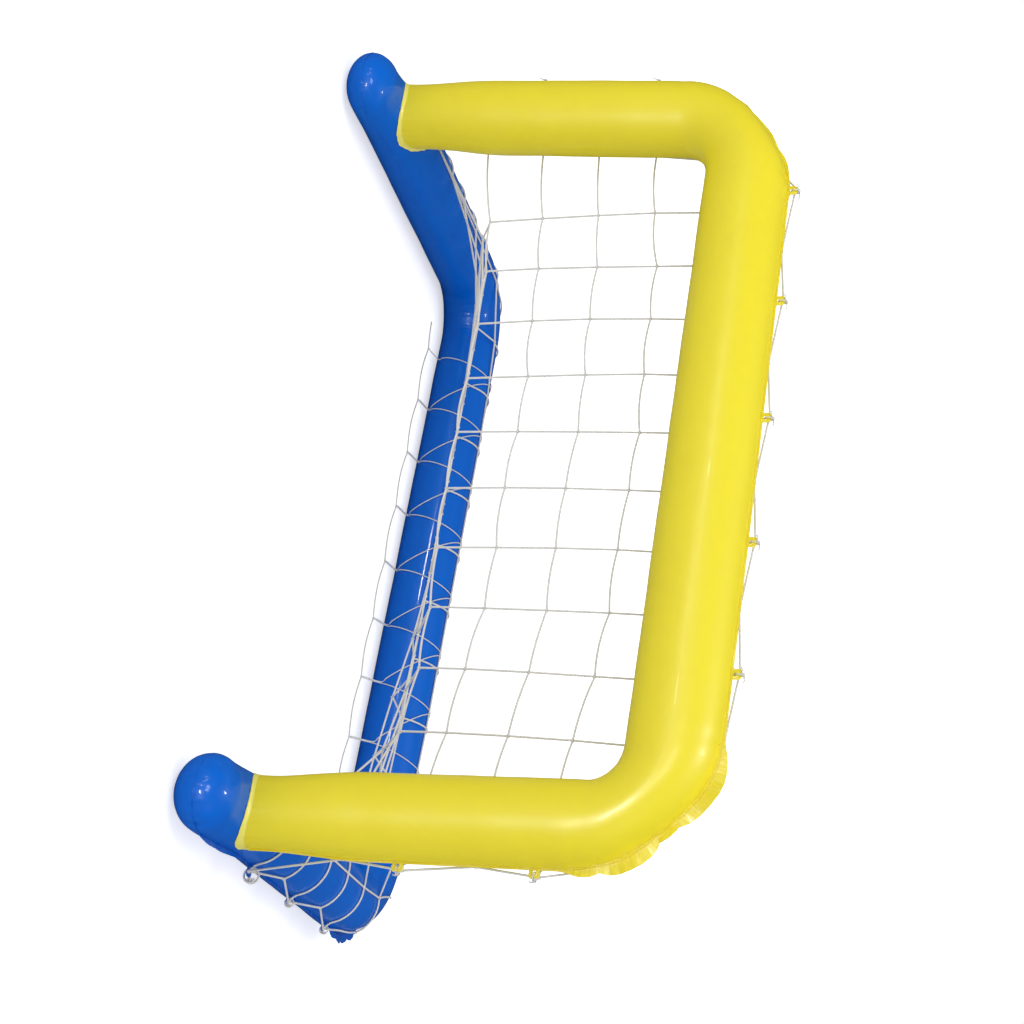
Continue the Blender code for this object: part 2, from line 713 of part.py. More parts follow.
def middle_knot(column, row, portal, base):
    """A knot of the net's middle columns: over the crossbar, down, back and over the rear bar."""
    crossing = crossbar_place(portal, column_x(column, NET_PITCH_HANGING))
    if row == 0:
        return edge_point(portal, crossing, column in TIED_COLUMNS)
    if row == 1:
        return portal.surface(crossing, math.radians(NET_OVER_BAR_ANGLE), NET_SEAT)
    if row < NET_FIRST_HANGING:
        place = hanging_knot(column, NET_FIRST_HANGING)
        place.y = CROSSBAR_Y + CROSSBAR_RADIUS + NET_SEAT
        place.z += (NET_FIRST_HANGING - row) * NET_ROW_PITCH
        return place
    if row <= NET_LAST_HANGING:
        return hanging_knot(column, row)
    if row <= NET_FRONT_ROW:
        return sloping_knot(column, row, base)
    if row < NET_ROWS:
        return base.surface(rear_place(base, column), math.radians(90), NET_SEAT)
    return edge_point(base, rear_place(base, column), column in TIED_REAR_COLUMNS)


def bend_place(tube, from_start, side):
    """A distance from the start of the first bend, or the same place on the other side."""
    distance = tube.path.bends()[0][0] + from_start
    return distance if side < 0 else tube.path.length - distance


def bend_middle(tube):
    start, end = tube.path.bends()[0]
    return (end - start) / 2


def post_knot(column, row, side, portal):
    """A knot of the outermost two columns round the back of a post and its bend."""
    if row == 0:
        distance = bend_place(portal, bend_middle(portal) + (0.0 if column == 0 else NET_BEND_TURN), side)
        angle = NET_EDGE_ANGLE if column == 0 else NET_BEND_ANGLE
        return portal.surface(distance, math.radians(angle), NET_SEAT)
    distance = post_row_place(portal, row, side)
    if row == 1:
        distance = bend_place(portal, NET_BEND_TURN, side)
    if column == 0:
        return edge_point(portal, distance, row in TIED_POST_ROWS)
    return portal.surface(distance, math.radians(NET_POST_ANGLE), NET_SEAT)


def tube_knot(column, row, side, base):
    """A knot of the outermost two columns over a side tube and its corner."""
    if row == NET_ROWS:
        distance = bend_place(base, bend_middle(base) + (0.0 if column == 0 else NET_BEND_TURN), side)
        angle = NET_EDGE_ANGLE if column == 0 else NET_CORNER_ANGLE
        return base.surface(distance, math.radians(angle), NET_SEAT)
    distance = side_place(base, side_row_y(row, base), side)
    if row == NET_ROWS - 1:
        distance = bend_place(base, NET_PAST_CORNER, side)
    if column == 0:
        return edge_point(base, distance, row == FOOT_ROW or row in TIED_BASE_ROWS)
    return base.surface(distance, math.radians(NET_SIDE_ANGLE), NET_SEAT)


def knot(column, row, portal, base):
    """Place of one knot, easing from the side columns into the middle ones."""
    nearest = min(column, NET_COLUMNS - column)
    side = -1 if column < NET_COLUMNS - column else 1
    if nearest <= 1 and row < FOOT_ROW:
        return post_knot(nearest, row, side, portal)
    if nearest <= 1:
        return tube_knot(nearest, row, side, base)
    place = middle_knot(column, row, portal, base)
    if nearest in RIM_SHARES and FOOT_ROW <= row < NET_ROWS:
        rim = tube_knot(1, row, side, base)
        place.y += (rim.y - place.y) * RIM_SHARES[nearest][0]
        place.z += (rim.z - place.z) * RIM_SHARES[nearest][1]
    return place


def strand_parts_down(column, row):
    """How many pieces a strand has on its way down a column: more where it bends round a tube."""
    at_side = min(column, NET_COLUMNS - column) <= 1
    if row >= NET_FRONT_ROW or at_side and (row == FOOT_ROW - 1 or row < NET_FIRST_HANGING):
        return ROUND_PARTS
    return OVER_PARTS if row < 2 else 1


def strand_parts_across(column, row):
    """The same along a row."""
    nearest = min(column, NET_COLUMNS - 1 - column)
    if nearest == 0 and row < FOOT_ROW or nearest == 2 and row >= NET_FRONT_ROW:
        return SEAM_PARTS
    if nearest == 0 or nearest == 1 and (row < NET_FIRST_HANGING or row >= FOOT_ROW):
        return ROUND_PARTS
    return FREE_PARTS if row <= NET_LAST_HANGING else 1


def strand_points(start, end, parts, sag, bodies):
    """Points between two knots, sagging a little and laid on what is under them."""
    points = []
    for step in range(1, parts):
        share = step / parts
        spot = start.lerp(end, share)
        spot.z -= sag * 4 * share * (1 - share)
        points.append(laid_on(spot, bodies))
    return points


def net_cells(portal, base):
    """Outline points of every mesh of the net, knots and the points between them."""
    bodies = (tube_samples(portal), tube_samples(base))
    knots = {}
    for column in range(NET_COLUMNS + 1):
        for row in range(NET_ROWS + 1):
            knots[column, row] = laid_on(knot(column, row, portal, base), bodies)
    across = {}
    down = {}
    for (column, row), here in knots.items():
        hangs = NET_FIRST_HANGING <= row <= NET_LAST_HANGING
        if column < NET_COLUMNS:
            parts = strand_parts_across(column, row)
            sag = NET_SAG if hangs else 0.0
            across[column, row] = strand_points(here, knots[column + 1, row], parts, sag, bodies)
        if row < NET_ROWS:
            parts = strand_parts_down(column, row)
            down[column, row] = strand_points(here, knots[column, row + 1], parts, 0.0, bodies)
    return knots, across, down


def knot_frame(knots, column, row):
    """Directions across, down and out of the net at a knot."""
    here = knots[column, row]
    across = knots.get((column + 1, row), here) - knots.get((column - 1, row), here)
    down = knots.get((column, row + 1), here) - knots.get((column, row - 1), here)
    out = across.cross(down).normalized()
    across.normalize()
    return across, out.cross(across), out


def knot_block(build, spot, frame):
    """Eight corners of a knot, named by their sides."""
    corners = {}
    for sides in [(i, j, k) for i in (-1, 1) for j in (-1, 1) for k in (-1, 1)]:
        shift = sum((axis * side for axis, side in zip(frame, sides)), Vector())
        corners[sides] = build.verts.new(spot + shift * NET_KNOT_HALF)
    return corners


def side_ring(corners, axis, side):
    """The four corners of one side of a knot, in a fixed order round it."""
    around = ((-1, -1), (1, -1), (1, 1), (-1, 1))
    if axis == 0:
        return [corners[side, j, k] for j, k in around]
    if axis == 1:
        return [corners[j, side, k] for j, k in around]
    return [corners[j, k, side] for j, k in around]


def strand_ring(build, spot, heading, sideways, out):
    """Four corners of a strand's square section, in the same order as a knot's side."""
    level = (sideways - heading * sideways.dot(heading)).normalized()
    rise = (out - heading * out.dot(heading) - level * out.dot(level)).normalized()
    half = NET_STRAND / 2
    return [build.verts.new(spot + (level * j + rise * k) * half)
            for j, k in ((-1, -1), (1, -1), (1, 1), (-1, 1))]


def join_rings(build, rings):
    for here, there in zip(rings, rings[1:]):
        for k in range(4):
            build.faces.new((here[k], here[(k + 1) % 4], there[(k + 1) % 4], there[k]))


def add_strand(build, ends, spots, frames, blocks, axis):
    """A square strand from one knot's side to the next knot's, through the points between."""
    path = [ends[0]] + spots + [ends[1]]
    rings = [side_ring(blocks[0], axis, 1)]
    for index, spot in enumerate(spots, start=1):
        share = index / (len(spots) + 1)
        heading = (path[index + 1] - path[index - 1]).normalized()
        sideways = frames[0][1 - axis].lerp(frames[1][1 - axis], share)
        out = frames[0][2].lerp(frames[1][2], share)
        rings.append(strand_ring(build, spot, heading, sideways, out))
    rings.append(side_ring(blocks[1], axis, -1))
    join_rings(build, rings)


def make_net(portal, base, group, finish):
    """One knotted net: square knots joined by square strands into a single body."""
    knots, across, down = net_cells(portal, base)
    build = bmesh.new()
    frames = {key: knot_frame(knots, *key) for key in knots}
    blocks = {key: knot_block(build, spot, frames[key]) for key, spot in knots.items()}
    for (column, row), block in blocks.items():
        build.faces.new(side_ring(block, 2, -1))
        build.faces.new(side_ring(block, 2, 1))
        for axis, spots, ahead in ((0, across, (column + 1, row)), (1, down, (column, row + 1))):
            here = (column, row)
            before = (column - 1, row) if axis == 0 else (column, row - 1)
            if ahead in blocks:
                add_strand(build, (knots[here], knots[ahead]), spots[here], (frames[here], frames[ahead]),
                           (block, blocks[ahead]), axis)
            else:
                build.faces.new(side_ring(block, axis, 1))
            if before not in blocks:
                build.faces.new(side_ring(block, axis, -1))
    bmesh.ops.recalc_face_normals(build, faces=build.faces)
    mesh = bpy.data.meshes.new("net")
    build.to_mesh(mesh)
    build.free()
    return link(bpy.data.objects.new("net", mesh), group, finish, smooth=False)


def lacing_turns(base):
    """Places along the rear bar of the zigzag's lower turns, and of the upper turn after each."""
    lower = []
    upper = []
    for turn in range(LACING_TURNS):
        at = LACING_SHIFT - (LACING_TURNS - 1) / 2 + turn
        lower.append(base.path.length / 2 + at * NET_PITCH_REAR)
        upper.append(lower[-1] + LACING_LEAN * NET_PITCH_REAR)
    return lower, upper


def rope_spot(base, distance, forward):
    """A point of the foot rope on the ground, in front of the rear bar."""
    spot = base.centre(distance) - base.outward(distance) * (ROPE_FRONT + forward)
    spot.z = ROPE_RADIUS + GAP
    return spot


def lacing_arm(base, lower, upper):
    """Points over the rear bar, bent where its facets bend, from an upper turn towards a lower turn."""
    facet = 180.0 / HALF_FACETS
    angles = [LACING_TOP_ANGLE]
    while angles[-1] + facet < LACING_LAST_ANGLE:
        angles.append(angles[-1] + facet)
    angles.append(LACING_LAST_ANGLE)
    points = []
    for angle in angles:
        share = (angle - LACING_TOP_ANGLE) / (LACING_FOOT_ANGLE - LACING_TOP_ANGLE)
        points.append(base.surface(upper + (lower - upper) * share, math.radians(angle), LACING_SEAT))
    return points


def rear_lacing(base, group, finish):
    """One cord from the first lower turn up over the bar and down again to the last."""
    lower, upper = lacing_turns(base)
    points = []
    for turn, place in enumerate(lower):
        if turn > 0:
            points += lacing_arm(base, place - LACING_SPLIT, upper[turn - 1] + LACING_SPLIT)
        for aside in (-LACING_SPLIT, LACING_SPLIT):
            tip = rope_spot(base, place + aside, -LACING_RADIUS)
            tip.z += ROPE_RADIUS + GAP + LACING_RADIUS
            points.append(tip)
        points += lacing_arm(base, place + LACING_SPLIT, upper[turn] - LACING_SPLIT)[::-1]
    return curve_object("rear_lacing", [points], LACING_RADIUS, group, finish)


def foot_rope(base, group, finish):
    """The rope on the ground in front of the rear bar, in a scallop from one lower turn to the next."""
    lower, _upper = lacing_turns(base)
    points = []
    for step in range(-ROPE_PARTS // 2, (LACING_TURNS - 1) * ROPE_PARTS + ROPE_PARTS // 2 + 1):
        share = step / ROPE_PARTS
        forward = ROPE_SCALLOP * abs(math.sin(math.pi * share))
        points.append(rope_spot(base, lower[0] + share * NET_PITCH_REAR, forward))
    return curve_object("foot_rope", [points], ROPE_RADIUS, group, finish)


def tab_outline(tube, distance, hole_radius, hole_reach, size):
    """Tongue and hole of one tab in the tube's flat plane."""
    spot, heading = tube.path.at(distance)
    outward = Vector((-heading.y, heading.x))
    radius = tube.radius_at(distance)
    half = TAB_WIDTH * size / 2
    tip = radius + TAB_LENGTH * size
    round_part = half * TAB_ROUNDING
    tongue = [(-half, radius + TAB_ROOT), (half, radius + TAB_ROOT), (half, tip - round_part)]
    for step in range(1, 4):
        angle = 0.5 * math.pi * step / 4
        tongue.append((half - round_part * (1 - math.cos(angle)), tip - round_part * (1 - math.sin(angle))))
    mirrored = [(-aside, out) for aside, out in tongue[2:]]
    tongue += mirrored[::-1]
    hole = []
    for step in range(8):
        angle = -2 * math.pi * (step + 0.5) / 8
        hole.append((hole_radius * math.sin(angle), radius + hole_reach + hole_radius * math.cos(angle)))
    return [[spot + heading * aside + outward * out for aside, out in ring] for ring in (tongue, hole)]


def hole_reach(loop_radius):
    """Where a tie's loop passes through its tab, beyond the tube."""
    back = loop_centre_back(loop_radius)
    return loop_centre_out(loop_radius) - math.sqrt(loop_radius ** 2 - back ** 2)


def loop_centre_out(loop_radius):
    return NET_EDGE_REACH + (loop_radius - TIE_RADIUS)


def loop_centre_back(loop_radius):
    return TIE_CENTRE_BACK * loop_radius


def flat_mesh(name, rings, thickness, group):
    """A plate from closed rings in its own plane, inner rings being holes."""
    data = bpy.data.curves.new(name + "_outline", "CURVE")
    data.dimensions = "2D"
    data.fill_mode = "BOTH"
    data.extrude = thickness / 2
    for ring in rings:
        spline = data.splines.new("POLY")
        spline.points.add(len(ring) - 1)
        for slot, point in zip(spline.points, ring):
            slot.co = (point[0], point[1], 0.0, 1.0)
        spline.use_cyclic_u = True
    outline = bpy.data.objects.new(name + "_outline", data)
    group.objects.link(outline)
    bpy.context.view_layer.update()
    evaluated = outline.evaluated_get(bpy.context.evaluated_depsgraph_get())
    mesh = bpy.data.meshes.new_from_object(evaluated)
    mesh.name = name
    bpy.data.objects.remove(outline, do_unlink=True)
    build = bmesh.new()
    build.from_mesh(mesh)
    bmesh.ops.remove_doubles(build, verts=build.verts, dist=1e-6)
    build.to_mesh(mesh)
    build.free()
    return bpy.data.objects.new(name, mesh)


def weld_tabs(name, tube, distances, foot_distances, seam, cutters):
    """Eyelet tabs across the seam, as flat tongues with holes, welded to it."""
    kinds = [(d, TIE_HOLE_RADIUS, hole_reach(TIE_RADIUS), 1.0) for d in distances]
    kinds += [(d, FOOT_TIE_HOLE_RADIUS, hole_reach(FOOT_TIE_RADIUS), FOOT_TAB_SIZE) for d in foot_distances]
    rings = []
    for distance, radius, reach, size in kinds:
        rings += tab_outline(tube, distance, radius, reach, size)
    tongues = as_cutter(flat_mesh(name, rings, TAB_THICKNESS, cutters), cutters)
    third = tube.across.cross(tube.along)
    place = Matrix((tube.across, tube.along, third)).transposed().to_4x4()
    place.translation = tube.origin
    tongues.matrix_world = place
    boolean(seam, tongues, "UNION")


def tie_points(tube, distance, loop_radius, advance):
    """A cord once and a quarter round, through the tab and round the net's edge, with two tails."""
    centre = tube.beside_seam(distance, loop_centre_out(loop_radius), loop_centre_back(loop_radius))
    out = tube.outward(distance)
    back = tube.normal
    along = tube.tangent(distance)
    loop = []
    for step in range(TIE_STEPS + 1):
        share = step / TIE_STEPS
        angle = math.radians(TIE_START + TIE_TURN * share)
        spot = centre + (out * math.cos(angle) + back * math.sin(angle)) * loop_radius
        loop.append(spot + along * (advance * (2 * share - 1)))
    tail = TIE_TAIL * loop_radius / TIE_RADIUS
    first = loop[0] - along * (tail * TIE_TAIL_ALONG) - back * (tail * TIE_TAIL_BACK)
    last = loop[-1] + along * (tail * TIE_TAIL_ALONG) + back * (tail * TIE_TAIL_BACK)
    return [first] + loop + [last]


def ties(name, tube, distances, group, finish, foot=False):
    """The cord ties of one stretch of seam, one object each."""
    for number, distance in enumerate(distances, start=1):
        label = name if len(distances) == 1 else f"{name}_{number}"
        loop_radius = FOOT_TIE_RADIUS if foot else TIE_RADIUS
        advance = TIE_ADVANCE * (FOOT_TIE_CORD_RADIUS / TIE_CORD_RADIUS if foot else 1.0)
        cord = FOOT_TIE_CORD_RADIUS if foot else TIE_CORD_RADIUS
        curve_object(label, [tie_points(tube, distance, loop_radius, advance)], cord, group, finish)


def turned(name, profile, group, finish):
    """A profile of radius and height points, outer side first, turned about its own Z."""
    mesh = bpy.data.meshes.new(name)
    build = bmesh.new()
    verts = [build.verts.new((radius, 0.0, height)) for radius, height in profile]
    closing = verts[:1] if profile[0][0] > 0.0 else []
    for here, there in zip(verts, verts[1:] + closing):
        build.edges.new((here, there))
    build.to_mesh(mesh)
    build.free()
    obj = bpy.data.objects.new(name, mesh)
    screw = obj.modifiers.new("turn", "SCREW")
    screw.steps = TURNED_STEPS
    screw.render_steps = TURNED_STEPS
    screw.use_merge_vertices = True
    screw.merge_threshold = 0.00001
    return link(obj, group, finish)


def stem_profile():
    rim_bottom = -STEM_RIM_TOP - STEM_RIM_THICKNESS
    return [(STEM_RADIUS, STEM_OUT), (STEM_RADIUS, -STEM_RIM_TOP), (STEM_RIM_RADIUS, -STEM_RIM_TOP),
            (STEM_RIM_RADIUS, rim_bottom), (STEM_RADIUS, rim_bottom), (STEM_RADIUS, -STEM_IN),
            (STEM_BORE, -STEM_IN), (STEM_BORE, STEM_OUT)]


def valve_flange(name, place, tube_radius, group, finish):
    """A round flange bent to the tube, with a hole for the stem."""
    rows = []
    inner = STEM_RADIUS + GAP
    for step in range(FLANGE_STEPS):
        angle = 2 * math.pi * step / FLANGE_STEPS
        row = []
        for radius in (inner, VALVE_FLANGE_RADIUS):
            along, aside = radius * math.cos(angle), radius * math.sin(angle)
            height = math.sqrt((tube_radius + VALVE_FLANGE_SEAT) ** 2 - aside ** 2) - tube_radius
            row.append(Vector((along, aside, height)))
        rows.append(row)
    obj = grid_object(name, rows, closed=True, facing=lambda face: Vector((0, 0, -1)))
    solidify(obj, VALVE_FLANGE_THICKNESS, 1.0)
    obj.matrix_world = place
    return link(obj, group, finish)


def valve_strap(name, place, group, cutters, finish):
    """A flat ring round the stem with a tongue that reaches the cap's hinge."""
    ring_radius = STEM_RADIUS + GAP + STRAP_RING_WIDTH
    tongue_angle = math.asin(STRAP_WIDTH / 2 / ring_radius)
    outline = [(HINGE_OFFSET + STRAP_END, STRAP_WIDTH / 2)]
    for step in range(13):
        angle = tongue_angle + (2 * math.pi - 2 * tongue_angle) * step / 12
        outline.append((ring_radius * math.cos(angle), ring_radius * math.sin(angle)))
    outline.append((HINGE_OFFSET + STRAP_END, -STRAP_WIDTH / 2))
    hole_radius = STEM_RADIUS + GAP
    hole = []
    for step in range(TURNED_STEPS):
        angle = -2 * math.pi * (step + 0.5) / TURNED_STEPS
        hole.append((hole_radius * math.cos(angle), hole_radius * math.sin(angle)))
    obj = flat_mesh(name, (outline, hole), STRAP_THICKNESS, cutters)
    obj.matrix_world = place @ Matrix.Translation((0, 0, STEM_OUT - HINGE_DROP))
    return link(obj, group, finish)


def box_mesh(name, low, high):
    """A box between two corners."""
    mesh = bpy.data.meshes.new(name)
    build = bmesh.new()
    bmesh.ops.create_cube(build, size=1.0)
    low, high = Vector(low), Vector(high)
    for vert in build.verts:
        vert.co = Vector([(low[k] + high[k]) / 2 + vert.co[k] * (high[k] - low[k]) for k in range(3)])
    build.to_mesh(mesh)
    build.free()
    return bpy.data.objects.new(name, mesh)


def as_cutter(obj, cutters):
    cutters.objects.link(obj)
    obj.hide_render = True
    obj.display_type = "WIRE"
    return obj


def boolean(target, tool, operation):
    modifier = target.modifiers.new(operation.lower(), "BOOLEAN")
    modifier.operation = operation
    modifier.object = tool
    modifier.solver = "EXACT"


def valve_cap(name, place, group, cutters, finish):
    """A cap with a tapered stopper and a lug that hangs down to the strap's hinge."""
    under = STEM_OUT + GAP
    top = under + CAP_THICKNESS
    tip = STEM_OUT - STOPPER_LENGTH
    profile = [(0.0, top), (CAP_RADIUS, top), (CAP_RADIUS, under), (STOPPER_TOP_RADIUS, under),
               (STOPPER_TIP_RADIUS, tip), (0.0, tip)]
    cap = turned(name, profile, group, finish)
    hinge_z = STEM_OUT - HINGE_DROP
    lug_half = STRAP_THICKNESS / 2
    lug_top = top - CAP_SHELF_INSET
    shelf_start = CAP_RADIUS * CAP_SHELF_START
    shelf = box_mesh(name + "_shelf", (shelf_start, -STRAP_WIDTH / 2, under + CAP_SHELF_INSET),
                     (HINGE_OFFSET + lug_half, STRAP_WIDTH / 2, lug_top))
    drop = box_mesh(name + "_drop", (HINGE_OFFSET - lug_half, -STRAP_WIDTH / 2, hinge_z + LUG_GAP),
                    (HINGE_OFFSET + lug_half, STRAP_WIDTH / 2, lug_top))
    cap.matrix_world = place
    for tool in (shelf, drop):
        as_cutter(tool, cutters)
        tool.matrix_world = place
        boolean(cap, tool, "UNION")
    return cap


def valve_flap(name, place, group, finish):
    """A leaf that closes the stem's inner end."""
    top = -STEM_IN - GAP
    under = top - FLAP_THICKNESS
    profile = [(0.0, top), (FLAP_RADIUS, top), (FLAP_RADIUS, under), (0.0, under)]
    flap = turned(name, profile, group, finish)
    flap.matrix_world = place
    return flap


def valve(prefix, tube, distance, angle, skin, group, cutters, finishes):
    """One inflation valve, standing square on the tube, its cap hinged on the side of the tangent."""
    up = tube.direction(distance, angle)
    along = tube.tangent(distance)
    if along.z > 0.1:
        along = -along
    aside = up.cross(along)
    place = Matrix((along, aside, up)).transposed().to_4x4()
    place.translation = tube.surface(distance, angle)
    hole = turned(prefix + "_hole_cutter",
                  [(0.0, SKIN_HOLE_REACH), (STEM_RADIUS + SKIN_HOLE_CLEARANCE, SKIN_HOLE_REACH),
                   (STEM_RADIUS + SKIN_HOLE_CLEARANCE, -SKIN_HOLE_REACH), (0.0, -SKIN_HOLE_REACH)],
                  cutters, None)
    hole.hide_render = True
    hole.display_type = "WIRE"
    hole.matrix_world = place
    boolean(skin, hole, "DIFFERENCE")
    vinyl, soft = finishes
    valve_flange(prefix + "_flange", place, tube.radius_at(distance), group, vinyl)
    stem = turned(prefix + "_stem", stem_profile(), group, soft)
    stem.matrix_world = place
    valve_strap(prefix + "_strap", place, group, cutters, soft)
    valve_cap(prefix + "_cap", place, group, cutters, soft)
    valve_flap(prefix + "_flap", place, group, soft)
    print_valve(prefix, place)


def print_valve(prefix, place):
    """Joint places and axes of a valve in world space."""
    spot = place.translation
    rotation = place.to_3x3()
    hinge = place @ Vector((HINGE_OFFSET, 0, STEM_OUT - HINGE_DROP))
    leaf = place @ Vector((-FLAP_RADIUS, 0, -STEM_IN - GAP))
    for label, value in (("at", spot), ("outward", rotation.col[2]), ("across", rotation.col[1]),
                         ("along", rotation.col[0]), ("cap hinge", hinge), ("flap hinge", leaf)):
        print(prefix, label, tuple(round(number, 6) for number in value))


def tied_places(portal, base):
    """Distances of all tabs, a little beside the knots that they hold."""
    beside = TIE_BESIDE_KNOT
    crossbar = [crossbar_place(portal, column_x(c, NET_PITCH_HANGING)) + beside for c in TIED_COLUMNS]
    rear = [rear_place(base, column) + beside for column in TIED_REAR_COLUMNS]
    posts = {}
    sides = {}
    feet = {}
    for side in (-1, 1):
        posts[side] = [post_row_place(portal, row, side) + side * beside for row in TIED_POST_ROWS]
        rows = [side_place(base, side_row_y(row, base), side) for row in TIED_BASE_ROWS]
        sides[side] = [place - side * beside for place in rows]
        foot = side_place(base, side_row_y(FOOT_ROW, base), side)
        feet[side] = [foot - side * FOOT_TIE_BESIDE_KNOT]
    return crossbar, rear, posts, sides, feet


def tie_all(portal, base, portal_seam, base_seam_strip, groups, cord):
    parts, cutters = groups
    crossbar, rear, posts, sides, feet = tied_places(portal, base)
    weld_tabs("portal_tabs", portal, posts[-1] + crossbar + posts[1], [], portal_seam, cutters)
    weld_tabs("base_tabs", base, sides[-1] + rear + sides[1], feet[-1] + feet[1], base_seam_strip, cutters)
    ties("crossbar_tie", portal, crossbar, parts, cord)
    ties("rear_bar_tie", base, rear, parts, cord)
    for side, word in ((-1, "left"), (1, "right")):
        ties(word + "_post_tie", portal, posts[side], parts, cord)
        ties(word + "_base_tie", base, sides[side], parts, cord)
        ties(word + "_foot_tie", base, feet[side], parts, cord, foot=True)


def main():
    clear_scene()
    parts = new_collection(PARTS)
    cutters = new_collection(CUTTERS)
    yellow = material("yellow_vinyl", (0.85, 0.72, 0.09), 0.35)
    blue = material("blue_vinyl", (0.004, 0.11, 0.58), 0.25)
    pale = material("weld_bead_vinyl", (0.93, 0.90, 0.45), 0.40)
    white = material("net_cord", (0.85, 0.85, 0.84), 0.75, 0.3)
    clear = material("valve_vinyl", (0.80, 0.82, 0.84), 0.30)
    portal = make_portal_tube()
    base = make_base_tube()
    saddles = [saddle_cutter(base, side, cutters) for side in (-1, 1)]
    portal_skin("portal_front_skin", portal, -1, saddles, parts, yellow)
    portal_back = portal_skin("portal_back_skin", portal, 1, saddles, parts, yellow)
    portal_seam = portal_outer_seam(portal, parts, yellow)
    portal_inner_seam(portal, parts, yellow)
    base_skin("base_top_skin", base, 1, parts, blue)
    base_bottom = base_skin("base_bottom_skin", base, -1, parts, blue)
    base_strip = base_seam(base, parts, blue)
    post_weld("left_post_weld", -1, portal, base, parts, pale)
    post_weld("right_post_weld", 1, portal, base, parts, pale)
    make_net(portal, base, parts, white)
    rear_lacing(base, parts, white)
    foot_rope(base, parts, white)
    tie_all(portal, base, portal_seam, base_strip, (parts, cutters), white)
    valve("portal_valve", portal, post_place(portal, PORTAL_VALVE_HEIGHT, -1), math.radians(90),
          portal_back, parts, cutters, (yellow, clear))
    valve("base_valve", base, base.path.length / 2 + BASE_VALVE_X, math.radians(BASE_VALVE_ANGLE),
          base_bottom, parts, cutters, (blue, clear))


main()
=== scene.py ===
import json
import math

import bmesh
import bpy
import numpy as np
from mathutils import Matrix, Vector


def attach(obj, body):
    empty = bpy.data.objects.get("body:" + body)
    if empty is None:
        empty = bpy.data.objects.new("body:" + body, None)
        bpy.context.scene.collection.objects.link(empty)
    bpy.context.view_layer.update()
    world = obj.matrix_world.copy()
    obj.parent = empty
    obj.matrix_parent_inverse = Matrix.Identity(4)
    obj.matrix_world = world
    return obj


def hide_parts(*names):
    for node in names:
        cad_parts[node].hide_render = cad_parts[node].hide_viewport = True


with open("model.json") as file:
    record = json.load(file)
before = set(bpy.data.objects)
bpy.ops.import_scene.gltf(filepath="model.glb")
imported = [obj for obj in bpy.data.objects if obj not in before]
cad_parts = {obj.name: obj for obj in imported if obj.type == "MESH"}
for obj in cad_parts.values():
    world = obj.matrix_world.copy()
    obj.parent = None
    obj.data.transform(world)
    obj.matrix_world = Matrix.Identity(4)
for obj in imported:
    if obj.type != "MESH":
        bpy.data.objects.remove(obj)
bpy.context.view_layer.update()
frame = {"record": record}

# Camera, from the photograph: turned by a quarter, so that the goal's right side is up
CAMERA_TARGET = (0.1413, -0.3339, 0.4289)
CAMERA_DISTANCE = 2.857
CAMERA_AZIMUTH = 23.93      # degrees
CAMERA_ELEVATION = 15.06
CAMERA_ROLL = 0.0594        # radians past the quarter turn
CAMERA_LENS = 62.04
CAMERA_SENSOR = 36.0

# Colours as linear values
YELLOW = (0.850, 0.730, 0.020)
YELLOW_DEEP = (0.790, 0.620, 0.010)
YELLOW_LIP = (0.900, 0.840, 0.190)
BLUE = (0.0, 0.132, 0.660)
BLUE_DEEP = (0.0, 0.070, 0.480)
CORD_WHITE = (0.740, 0.735, 0.735)
# painted shade: the grey laid into the cord's twist grooves
CORD_GROOVE_SHADE = (0.500, 0.500, 0.510)
VALVE_CLEAR = (0.700, 0.740, 0.780)
VALVE_MILKY = (0.820, 0.850, 0.870)

# Fineness of the dressed skins
CAD_FACETS = 9              # facets in the model's half skins, which set how high its axis lies
HALF_STEPS = 60             # steps round half a tube
TURNED_STEPS = 48           # round a turned piece or an eyelet
DISC_STEPS = 72             # round a valve's flange
STRAP_STEPS = 96            # round a valve's strap
RUN_STEP = 0.0120           # rings on straight runs
BEND_STEP = 0.0032          # rings in bends and ruffles
SAMPLE_STEP = 0.006         # axis points that the net is laid round
VALVE_STEP = 0.0016         # rings at a valve
VALVE_REACH = 0.0160
NECK_ZONE = 0.100           # lowest part of a post, where the rings bend to its weld
NECK_RINGS = 14
END_ZONE = 0.080            # closer rings where a skin begins
DOME_STEPS = 22
NOSE_STEPS = 60             # of a seam round a foot

# Relief of the skins
PORTAL_SEED = 11
BASE_SEED = 23
SOFTNESS = 0.0006           # slow unevenness
SOFT_WAVES = ((0.31, 1), (0.19, 2), (0.13, 1), (0.083, 3))  # length along the tube, waves round it
SOFT_WAVE_SUM = 2.6         # more than all of them together
PUCKER_DEPTH = 0.0026       # beside the ruffled seams
PUCKER_REACH = math.radians(26.0)  # over which puckers fade
PUCKER_WIDTH = 0.0030
SHORT_CREASE_PITCH = 0.0130
SHORT_CREASE_WIDTH = 0.0022
STRAIGHT_GAP = 0.2          # cusps further apart have a straight run between them
LONG_CREASE_DEPTH = 0.0016  # right across the tube
LONG_CREASE_WIDTH = 0.0075
INNER_CREASE_DEPTH = 0.0011
INNER_CREASE_PITCH = 0.0240
INNER_CREASE_WIDTH = 0.0040
PORTAL_INNER_SHARE = 0.4    # inner creases are shallower on the portal
CREASE_SEARCH = 0.0600      # creases further away don't reach a ring
CREASE_SHIFT = 0.0012       # between the two halves of a skin
NECK_WRINKLE_DEPTH = 0.0009
NECK_WRINKLE_HEIGHT = 0.0550
NECK_RIPPLES = (19, 7, 41)  # waves round a post
FOOT_PUCKER_DEPTH = 0.0012
FOOT_PUCKER_LENGTH = 0.0500  # over which they fade along the tube
FOOT_PUCKER_WIDTH = 0.040
FOOT_PUCKERS = 16
